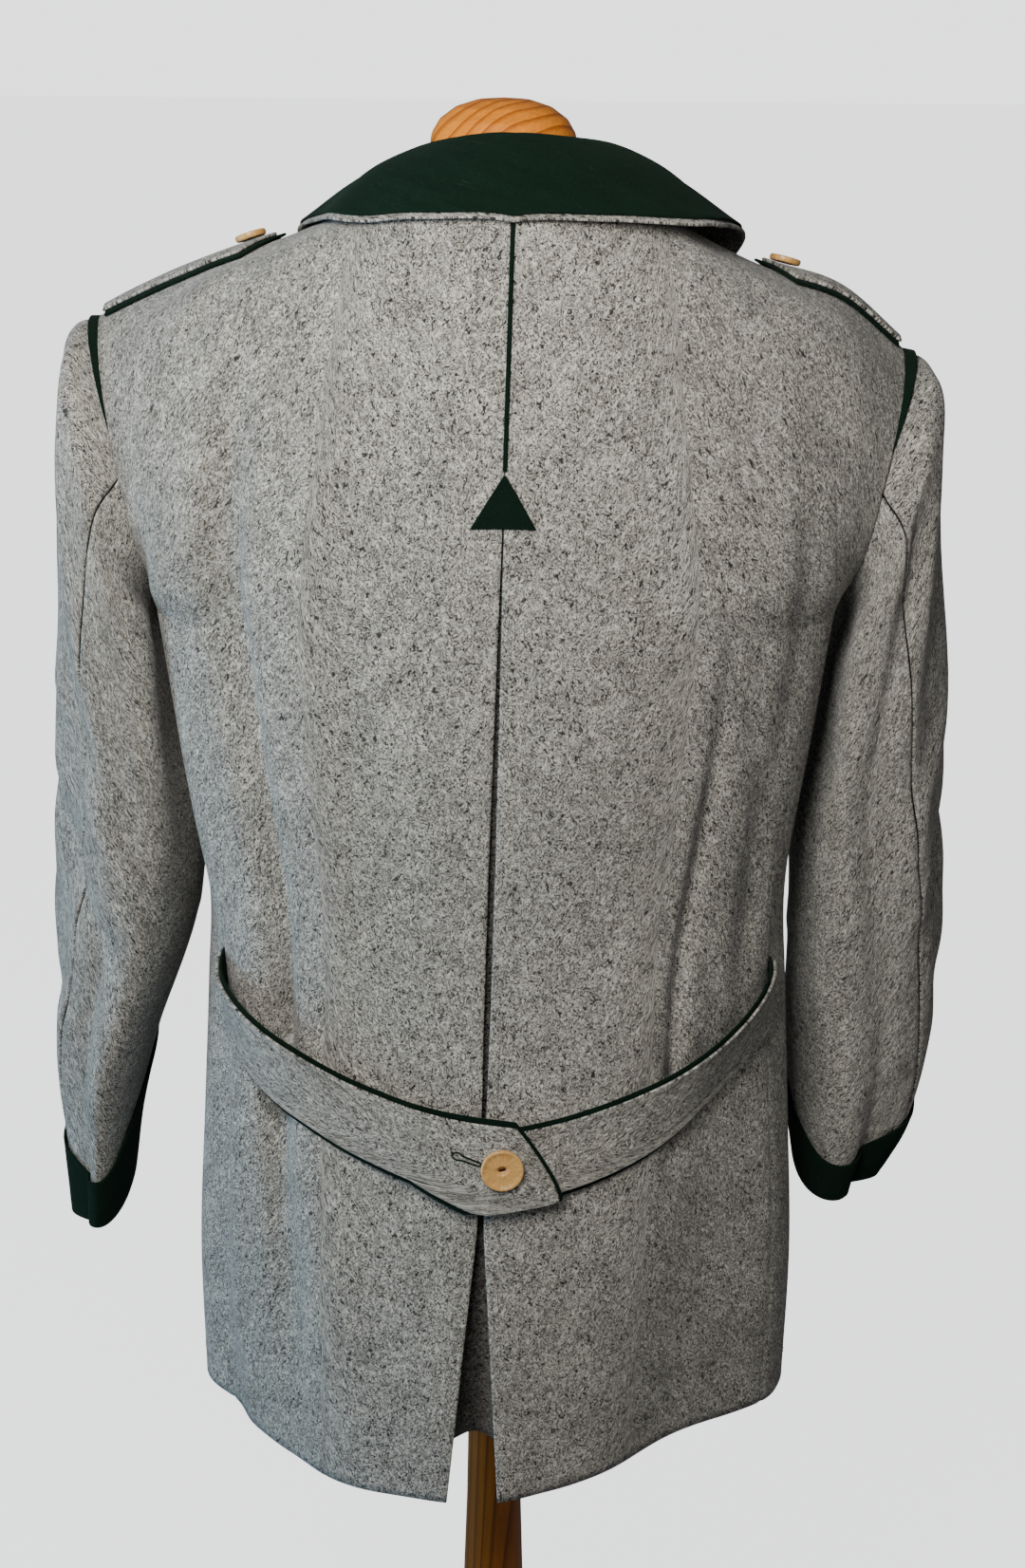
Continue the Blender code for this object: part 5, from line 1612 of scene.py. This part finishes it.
# %% Dress form
JERSEY_COLOR = (0.50, 0.47, 0.42)


def jersey_material():
    n = Nodes("form_jersey")
    cloth = n.cloth_coordinates()
    wale = n.add("ShaderNodeTexWave", [("Vector", cloth)], Scale=260.0, Distortion=1.5, Detail=1.0)
    cloud = n.noise(cloth, 30.0, 3.0, 0.6)
    dark = tuple(0.86 * c for c in JERSEY_COLOR)
    light = tuple(1.06 * c for c in JERSEY_COLOR)
    base = n.mix(cloud, dark, light)
    base = n.mix(1.0, base, n.ramp(wale.outputs["Fac"], ((0.2, 0.90), (0.8, 1.04))), "MULTIPLY")
    bump = n.add("ShaderNodeBump", [("Height", wale.outputs["Fac"])], Strength=0.3, Distance=0.0004)
    n.set(
        Base_Color=base,
        Roughness=0.9,
        Normal=bump.outputs["Normal"],
        Sheen_Weight=0.1,
        Specular_IOR_Level=0.2,
    )
    return n.material


# Level sections of the form: height, half width, depth behind and in front.
FORM_COLUMNS = "height half back front".split()
FORM = (
    (1.4880, 0.0360, 0.0360, 0.0360),
    (1.4700, 0.0400, 0.0460, 0.0440),
    (1.4574, 0.0640, 0.0560, 0.0480),
    (1.4454, 0.0960, 0.0590, 0.0480),
    (1.4313, 0.1340, 0.0640, 0.0520),
    (1.4163, 0.1700, 0.0700, 0.0560),
    (1.3992, 0.1900, 0.0760, 0.0620),
    (1.3710, 0.1980, 0.0880, 0.0740),
    (1.3200, 0.1900, 0.0990, 0.0880),
    (1.2500, 0.1740, 0.1050, 0.1000),
    (1.1500, 0.1600, 0.1020, 0.1020),
    (1.0500, 0.1500, 0.0920, 0.0940),
    (0.9500, 0.1540, 0.0920, 0.0960),
    (0.8600, 0.1600, 0.0970, 0.1000),
    (0.8100, 0.1580, 0.0960, 0.0980),
    (0.7950, 0.1460, 0.0860, 0.0880),
)


FORM_AROUND = 120
FORM_SHARP = 0.90
FORM_SHIFT_Y = 0.004
NECK_TOP = FORM[0][0]
FORM_BOTTOM = FORM[-1][0]


def make_form():
    rows = table(FORM_COLUMNS, FORM)
    fine = np.linspace(0, len(FORM) - 1, 150)
    at = {name: np.interp(fine, np.arange(len(FORM)), rows[name]) for name in FORM_COLUMNS}
    around = 2 * math.pi * np.arange(FORM_AROUND) / FORM_AROUND
    out = np.sign(np.cos(around)) * np.abs(np.cos(around)) ** FORM_SHARP
    back = np.sign(np.sin(around)) * np.abs(np.sin(around)) ** FORM_SHARP
    x = at["half"][:, None] * out
    depth = np.where(back > 0, at["back"][:, None], at["front"][:, None])
    y = FORM_SHIFT_Y + depth * back
    z = at["height"][:, None] * np.ones(FORM_AROUND)
    points = sit(np.stack([x, y, z], -1))
    level = (z <= FORM_BOTTOM) | (z >= NECK_TOP)
    points[..., 2] = np.where(level, z, points[..., 2])
    top = points[:1].mean(axis=1, keepdims=True) * np.ones((1, FORM_AROUND, 1))
    low = points[-1:].mean(axis=1, keepdims=True) * np.ones((1, FORM_AROUND, 1))
    points = np.concatenate([top, points, low])
    index = np.arange(points.shape[0] * FORM_AROUND).reshape(-1, FORM_AROUND)
    index[0] = index[0, 0]
    index[-1] = index[-1, 0]
    index = np.column_stack([index, index[:, :1]])
    faces = np.stack([index[:-1, :-1], index[:-1, 1:], index[1:, 1:], index[1:, :-1]], -1)
    caps = np.concatenate([faces[0][:, [0, 2, 3]], faces[-1][:, [0, 1, 2]]])
    uv = np.stack([lengths(points, 1), lengths(points, 0)], -1)
    made = disc_object("jersey_form", points, faces[1:-1].reshape(-1, 4), caps, uv)
    stands_for(made, "form_torso", jersey_material())


make_form()
print("form points:", len(PIECES["jersey_form"].data.vertices))

# %% [markdown]
# Cap, pole and base are turned pine, oiled to a honey colour. Pine has broad pale
# early wood and narrow dark late wood. On a turned pole the growth layers are cut
# nearly along, so they show as long stripes; on the cap they are cut across and run
# aslant. The layers are planes through the wood, bent by a slow noise, read in Object
# coordinates, so that they pass through the piece as they do in a real billet.

# %% Pine
PINE_EARLY = (0.640, 0.205, 0.014)
PINE_LATE = (0.230, 0.048, 0.003)


def pine_material(name, slant, density, tone=1.0, tint=(1.0, 1.0, 1.0)):
    """slant tips the layers over in degrees; density is layers to the metre."""
    n = Nodes(name)
    place = n.add("ShaderNodeTexCoord").outputs["Object"]
    long = n.placed(place, (9.0, 9.0, 1.4))
    bent = n.add("ShaderNodeTexNoise", [("Vector", long)], Scale=1.0, Detail=2.0)
    shifted = n.mix(0.045, place, bent.outputs["Color"])
    turn = (0.0, math.radians(slant), math.radians(24.0))
    turned = n.add("ShaderNodeMapping", [("Vector", shifted)], Rotation=turn)
    split = n.add("ShaderNodeSeparateXYZ", [("Vector", turned.outputs[0])])
    layer = n.math("FRACT", n.math("MULTIPLY", split.outputs[0], density), 0.0)
    late = n.ramp(layer, ((0.0, 0.0), (0.55, 0.10), (0.90, 0.85), (0.97, 0.25), (1.0, 0.0)))
    base = n.mix(late, tuple(tone * c for c in PINE_EARLY), tuple(tone * c for c in PINE_LATE))
    fibre = n.noise(n.placed(turned.outputs[0], (700.0, 700.0, 14.0)), 1.0, 3.0, 0.6)
    base = n.mix(1.0, base, n.ramp(fibre, ((0.3, 0.80), (0.7, 1.14))), "MULTIPLY")
    cloud = n.noise(place, 22.0, 2.0)
    base = n.mix(1.0, base, n.ramp(cloud, ((0.3, 0.86), (0.7, 1.12))), "MULTIPLY")
    base = n.mix(1.0, base, tint, "MULTIPLY")
    bump = n.add("ShaderNodeBump", [("Height", fibre)], Strength=0.12, Distance=0.0005)
    rough = n.ramp(fibre, ((0.3, 0.46), (0.7, 0.34)))
    n.set(
        Base_Color=base,
        Roughness=rough,
        Normal=bump.outputs["Normal"],
        Coat_Weight=0.15,
        Coat_Roughness=0.30,
        Specular_IOR_Level=0.35,
    )
    return n.material


PINE_POLE = pine_material("pine_pole", 2.0, 150.0, 0.46)
PINE_CAP = pine_material("pine_cap", 52.0, 120.0, 1.25)
PINE_BASE = pine_material("pine_base", 0.0, 110.0, 0.50)
print("growth layers about", round(1000 / 150, 1), "mm apart")

# %% [markdown]
# A turned piece is a profile of radius and height taken once round its axis. Between
# the profile's points a fine curve keeps the beads and coves round.

# %% Stand
CAP_PROFILE = (
    (0.0, 0.0300),
    (0.0150, 0.0288),
    (0.0270, 0.0250),
    (0.0360, 0.0185),
    (0.0405, 0.0110),
    (0.0415, 0.0060),
    (0.0400, 0.0015),
    (0.0370, 0.0),
    (0.0, 0.0),
)
POLE_PROFILE = (
    (0.0, 0.7946),
    (0.0165, 0.7946),
    (0.0175, 0.6800),
    (0.0190, 0.5700),
    (0.0207, 0.5150),
    (0.0235, 0.4200),
    (0.0262, 0.3000),
    (0.0270, 0.2000),
    (0.0258, 0.1300),
    (0.0300, 0.1100),
    (0.0300, 0.1000),
    (0.0262, 0.0920),
    (0.0300, 0.0600),
    (0.0420, 0.0403),
    (0.0, 0.0403),
)
BASE_PROFILE = (
    (0.0, 0.0400),
    (0.0700, 0.0400),
    (0.1100, 0.0350),
    (0.1500, 0.0270),
    (0.1660, 0.0220),
    (0.1720, 0.0150),
    (0.1720, 0.0060),
    (0.1680, 0.0),
    (0.0, 0.0),
)


TURNED_STEPS = 128


def turned(name, node, profile, center, material, softness):
    """The profile's polyline, its corners rounded by a running mean, turned about Z."""
    profile = np.array(profile)
    steps = np.concatenate([[0.0], np.cumsum(np.linalg.norm(np.diff(profile, axis=0), axis=1))])
    at = np.linspace(0, steps[-1], int(steps[-1] / softness * 3) + 40)
    r, z = np.interp(at, steps, profile[:, 0]), np.interp(at, steps, profile[:, 1])
    weight = np.ones(5) / 5
    r[4:-4], z[4:-4] = np.convolve(r, weight, "same")[4:-4], np.convolve(z, weight, "same")[4:-4]
    around = 2 * np.pi * np.arange(TURNED_STEPS) / TURNED_STEPS
    x = center[0] + r[:, None] * np.cos(around)
    y = center[1] + r[:, None] * np.sin(around)
    points = np.stack([x, y, center[2] + z[:, None] * np.ones(TURNED_STEPS)], -1)
    index = np.arange(points.shape[0] * TURNED_STEPS).reshape(-1, TURNED_STEPS)
    index[0] = index[0, 0]
    index[-1] = index[-1, 0]
    index = np.column_stack([index, index[:, :1]])
    faces = np.stack([index[:-1, :-1], index[:-1, 1:], index[1:, 1:], index[1:, :-1]], -1)
    caps = np.concatenate([faces[0][:, [0, 2, 3]], faces[-1][:, [0, 1, 2]]])
    uv = np.stack([lengths(points, 1), lengths(points, 0)], -1)
    made = disc_object(name, points, faces[1:-1].reshape(-1, 4), caps, uv)
    made.data.set_sharp_from_angle(angle=math.radians(60))
    return stands_for(made, node, material)


def make_stand():
    foot = (0.0, FORM_SHIFT_Y, NECK_TOP + GAP)
    turned("pine_cap", "neck_cap", CAP_PROFILE, foot, PINE_CAP, 0.0022)
    turned("pine_pole", "pole", POLE_PROFILE, (0.0, 0.0, 0.0), PINE_POLE, 0.006)
    turned("pine_base", "base", BASE_PROFILE, (0.0, 0.0, 0.0), PINE_BASE, 0.004)


make_stand()
print("pole points:", len(PIECES["pine_pole"].data.vertices))


# %% [markdown]
# Thread is the last thing on the jacket. A row of topstitching is a line of short
# stitches a little under three millimetres long; each one is a small capsule of thread
# that arches over the cloth and dives into it at both ends. The rows run 6.5 mm inside
# the edges of the half belt, and along the hem, the slit, the fronts and the straps.

# %% Topstitching
STITCH_LONG = 0.0028
STITCH_STEP = 0.0039
STITCH_THICK = 0.00024
STITCH_STATIONS = np.linspace(-0.5, 0.5, 6)
STITCH_RADII = STITCH_THICK * np.array([0.35, 0.85, 1.0, 1.0, 0.85, 0.35])
THREAD_GREY = loden_material("grey_thread", 0.0, (0.62, 0.62, 0.62))
STITCHES = []


def stitched(surface, a, b, lift, side=1):
    """Adds stitches along the line of points a, b on a surface, lift above it."""
    points, normals = sample(surface, np.asarray(a, float), np.asarray(b, float), side)
    points = points + normals * np.reshape(lift * np.ones(len(points)), (-1, 1))
    run = np.concatenate([[0.0], np.cumsum(np.linalg.norm(np.diff(points, axis=0), axis=1))])
    centers = np.arange(STITCH_STEP, run[-1] - STITCH_STEP / 2, STITCH_STEP)
    at = centers[:, None] + STITCH_LONG * STITCH_STATIONS
    path = np.stack([np.interp(at, run, points[:, i]) for i in range(3)], -1)
    up = np.stack([np.interp(at, run, normals[:, i]) for i in range(3)], -1)
    along = np.gradient(path, axis=1)
    beside = np.cross(up, along)
    beside = beside / np.linalg.norm(beside, axis=-1, keepdims=True)
    arch = STITCH_THICK * (1.2 - 8.0 * STITCH_STATIONS**2)
    path = path + up * arch[None, :, None]
    turn = np.linspace(0, 2 * np.pi, 7)[:-1]
    around = np.cos(turn)[:, None] * beside[..., None, :] + np.sin(turn)[:, None] * up[..., None, :]
    STITCHES.append(path[..., None, :] + around * STITCH_RADII[:, None, None])


def stitch_object(name, material):
    """One object from all the rows so far: quads along each capsule and a cap at each end."""
    points = np.concatenate(STITCHES)
    STITCHES.clear()
    count, stations, sides = points.shape[:3]
    index = np.arange(points.size // 3).reshape(count, stations, sides)
    wrapped = np.concatenate([index, index[..., :1]], -1)
    low, high = wrapped[:, :-1], wrapped[:, 1:]
    quads = np.stack([low[..., :-1], low[..., 1:], high[..., 1:], high[..., :-1]], -1)
    ends = np.concatenate([index[:, 0, ::-1], index[:, -1]])
    flat = points.reshape(-1, 3)
    made = faces_object(name, flat, [quads.reshape(-1, 4), ends], flat[:, :2])
    made.data.materials.append(material)
    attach(made, "root")
    return made


def stitch_belts():
    """Both edges of each half belt, and round the left one's tip."""
    for name, side in SIDES.items():
        along = np.linspace(0.02, 1.0, 160)
        for share in (BELT_STITCH, 1 - BELT_STITCH):
            s, w, off = belt_grid(name, (share,), along)
            stitched(figure, s[0], w[0] * side, off[0] - 0.0004)
        shares = np.linspace(BELT_STITCH, 1 - BELT_STITCH, 30)
        s, w, off = belt_grid(name, shares, np.full(1, 0.02))
        stitched(figure, s[:, 0], w[:, 0] * side, off[:, 0] - 0.0001)


def stitch_edges():
    """The back's slit and hem, the fronts' closing edges and hem, and the straps."""
    hem = HEM - 0.20
    for name, side in SIDES.items():
        rows = np.linspace(float(back_s_at(1.02)), HEM - 0.05, 120)
        inside = slit_w(rows) + w_at(0.0065, rows)
        stitched(body, rows, inside * side, 0.0)
        across = np.linspace(float(inside[-1]), 0.985, 120)
        rise = HEM_RISE[name] * np.sin(np.pi * across) ** 2
        stitched(body, hem - rise, across * side, 0.0)
        rows = np.linspace(5.2, HEM - 0.1, 160)
        edge = np.full(160, -FRONT_LAP_W + 0.028)
        lift = 0.0 * rows if name == "left" else -push_in(rows, edge)
        stitched(body, -rows, edge * side, lift)
        across = np.linspace(-FRONT_LAP_W + 0.03, 0.985, 120)
        lift = 0.0 * across if name == "left" else -push_in(np.full(120, hem), across)
        stitched(body, np.full(120, -hem), across * side, lift)
        top = STRAP_LIFT + FELT + GAP + CLOTH
        for edge in (-0.84, 0.84):
            s, w = strap_grid(np.array([edge]), np.linspace(0.06, 0.97, 60), STRAP_POINT_W[name])
            stitched(body, np.ravel(s), np.ravel(w) * side, top)


stitch_belts()
stitch_edges()
print("stitches:", sum(len(rows) for rows in STITCHES))
stitch_object("thread_topstitching", THREAD_GREY)

# %% [markdown]
# A keyhole buttonhole is a slit with a small eye at one end, and its edge is wound
# closely with green thread. Its rim is one ring of thread: a loop that is round at the
# eye and narrow along the slit, with a low round section and a ripple for the turns of
# thread. A low lens of cloth lies inside it, which is the lower layer seen in the slit.

# %% Buttonholes
HOLE_HALF = 0.0085
HOLE_EYE = 0.0020
HOLE_SLIT = 0.0007
HOLE_RIM = 0.0011
HOLE_TURNS = 48


def loop(grow):
    """Distances along and beside the slit for a loop that lies grow outside its edge."""
    turn = np.linspace(0, 2 * np.pi, 145)[:-1]
    along = (HOLE_HALF + grow) * np.cos(turn)
    eye = np.exp(-(((along - HOLE_HALF + HOLE_EYE) / (1.3 * HOLE_EYE)) ** 2))
    half = HOLE_SLIT + (HOLE_EYE - HOLE_SLIT) * eye + grow
    return along, half * np.sign(np.sin(turn)) * np.abs(np.sin(turn)) ** 0.35


def buttonhole(name, surface, x, height, slope, lift, front=False):
    """A worked buttonhole whose middle is at x and height; slope is its rise to +X in radians."""
    def on(along, beside, high):
        z = height + along * math.sin(slope) + beside * math.cos(slope)
        s = section_at(z)
        w = w_at(x + along * math.cos(slope) - beside * math.sin(slope), s)
        points, normals = sample(surface, -s if front else s, w)
        return points + normals * (lift + high)[..., None], normals

    across = np.linspace(-1, 1, 9)[:, None]
    along, beside = loop(HOLE_RIM * (1 + across) / 2)
    wound = np.sin(HOLE_TURNS * np.linspace(0, 2 * np.pi, 145)[:-1])
    high = 0.00055 * np.sqrt(1 - 0.92 * across**2) + 0.00008 * wound
    points, normals = on(along, beside, high)
    rim = cloth_wall(f"thread_{name}", points, points - normals * 0.0006, grid_uv(points), True)
    along, beside = loop(0.0001)
    share = np.linspace(0.02, 1, 6)[:, None]
    points, normals = on(along * share, beside * share, 0.0001 * np.ones((6, 144)))
    dark = cloth_wall(f"slit_{name}", points, points - normals * 0.0003, grid_uv(points), True)
    for piece in (rim, dark):
        piece.data.materials.append(THREAD if piece is rim else LODEN_UNDER)
        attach(piece, "root")


def make_buttonholes():
    belt = table(BELT_COLUMNS, BELTS["left"])
    w = w_at(BELT_BUTTON_X, section_at(BELT_BUTTON_HEIGHT))
    off = float(through(belt["w"], belt["off"], w))
    x, height = BELT_BUTTON_X + 0.0208, BELT_BUTTON_HEIGHT + 0.0055
    buttonhole("buttonhole_belt", figure, x, height, 0.36, off)
    front = table(FRONT_BUTTON_COLUMNS, FRONT_BUTTONS)
    for number, height in enumerate(front["height"][1:], start=2):
        buttonhole(f"buttonhole_front_{number}", body, 0.012, height, 0.0, 0.0, True)


make_buttonholes()
print("buttonholes:", len([name for name in PIECES if name.startswith("slit_")]))


# %% [markdown]
# Last come the facts of each cut piece: its width, its length and its area, how it is
# held and what it lies on. There is no pattern to copy, so the sizes were measured along
# the finished cloth, and they leave out seam allowances and facings. The piping, the
# stitching and the wound buttonholes go with the piece they are on.

# %% The cut of each piece
CUT_COLUMNS = "piece width length area held rests_on".split()
CUTS = (
    ("loden_back_left", 0.300, 0.872, 0.2120, "hung", "jersey_form"),
    ("loden_back_right", 0.297, 0.864, 0.2060, "hung", "jersey_form"),
    ("loden_front_left", 0.470, 0.832, 0.2010, "hung", "jersey_form"),
    ("loden_front_right", 0.470, 0.830, 0.2040, "hung", "jersey_form"),
    ("loden_underlay", 0.118, 0.602, 0.0550, "hung", "loden_back_left"),
    ("loden_sleeve_left_top", 0.282, 0.638, 0.1160, "hung", "loden_back_left"),
    ("loden_sleeve_left_under", 0.233, 0.551, 0.0830, "hung", "loden_back_left"),
    ("loden_sleeve_right_top", 0.263, 0.594, 0.1110, "hung", "loden_back_right"),
    ("loden_sleeve_right_under", 0.224, 0.515, 0.0790, "hung", "loden_back_right"),
    ("felt_cuff_left", 0.359, 0.129, 0.0265, "laid", "loden_sleeve_left_top"),
    ("felt_cuff_right", 0.393, 0.109, 0.0244, "laid", "loden_sleeve_right_top"),
    ("felt_wedge_left", 0.195, 0.010, 0.0011, "laid", "loden_sleeve_left_top"),
    ("felt_wedge_right", 0.183, 0.010, 0.0012, "laid", "loden_sleeve_right_top"),
    ("felt_collar", 0.618, 0.104, 0.0425, "folded", "loden_under_collar"),
    ("loden_under_collar", 0.621, 0.076, 0.0308, "folded", "loden_back_left"),
    ("loden_lapel_left", 0.208, 0.072, 0.0090, "folded", "loden_front_left"),
    ("loden_lapel_right", 0.158, 0.071, 0.0073, "folded", "loden_front_right"),
    ("felt_strap_left", 0.115, 0.087, 0.0062, "laid", "loden_back_left"),
    ("loden_strap_left", 0.110, 0.076, 0.0055, "laid", "felt_strap_left"),
    ("felt_strap_right", 0.100, 0.082, 0.0051, "laid", "loden_back_right"),
    ("loden_strap_right", 0.096, 0.072, 0.0046, "laid", "felt_strap_right"),
    ("felt_belt_left", 0.273, 0.060, 0.0133, "laid", "loden_back_left"),
    ("loden_belt_left", 0.274, 0.058, 0.0125, "laid", "felt_belt_left"),
    ("felt_belt_right", 0.264, 0.052, 0.0119, "laid", "loden_back_right"),
    ("loden_belt_right", 0.264, 0.046, 0.0112, "laid", "felt_belt_right"),
    ("felt_arrow", 0.037, 0.030, 0.0006, "laid", "loden_back_left"),
)


total = sum(row[CUT_COLUMNS.index("area")] for row in CUTS)
print("cloth pieces:", len(CUTS), "flat area", round(total, 2), "square metres")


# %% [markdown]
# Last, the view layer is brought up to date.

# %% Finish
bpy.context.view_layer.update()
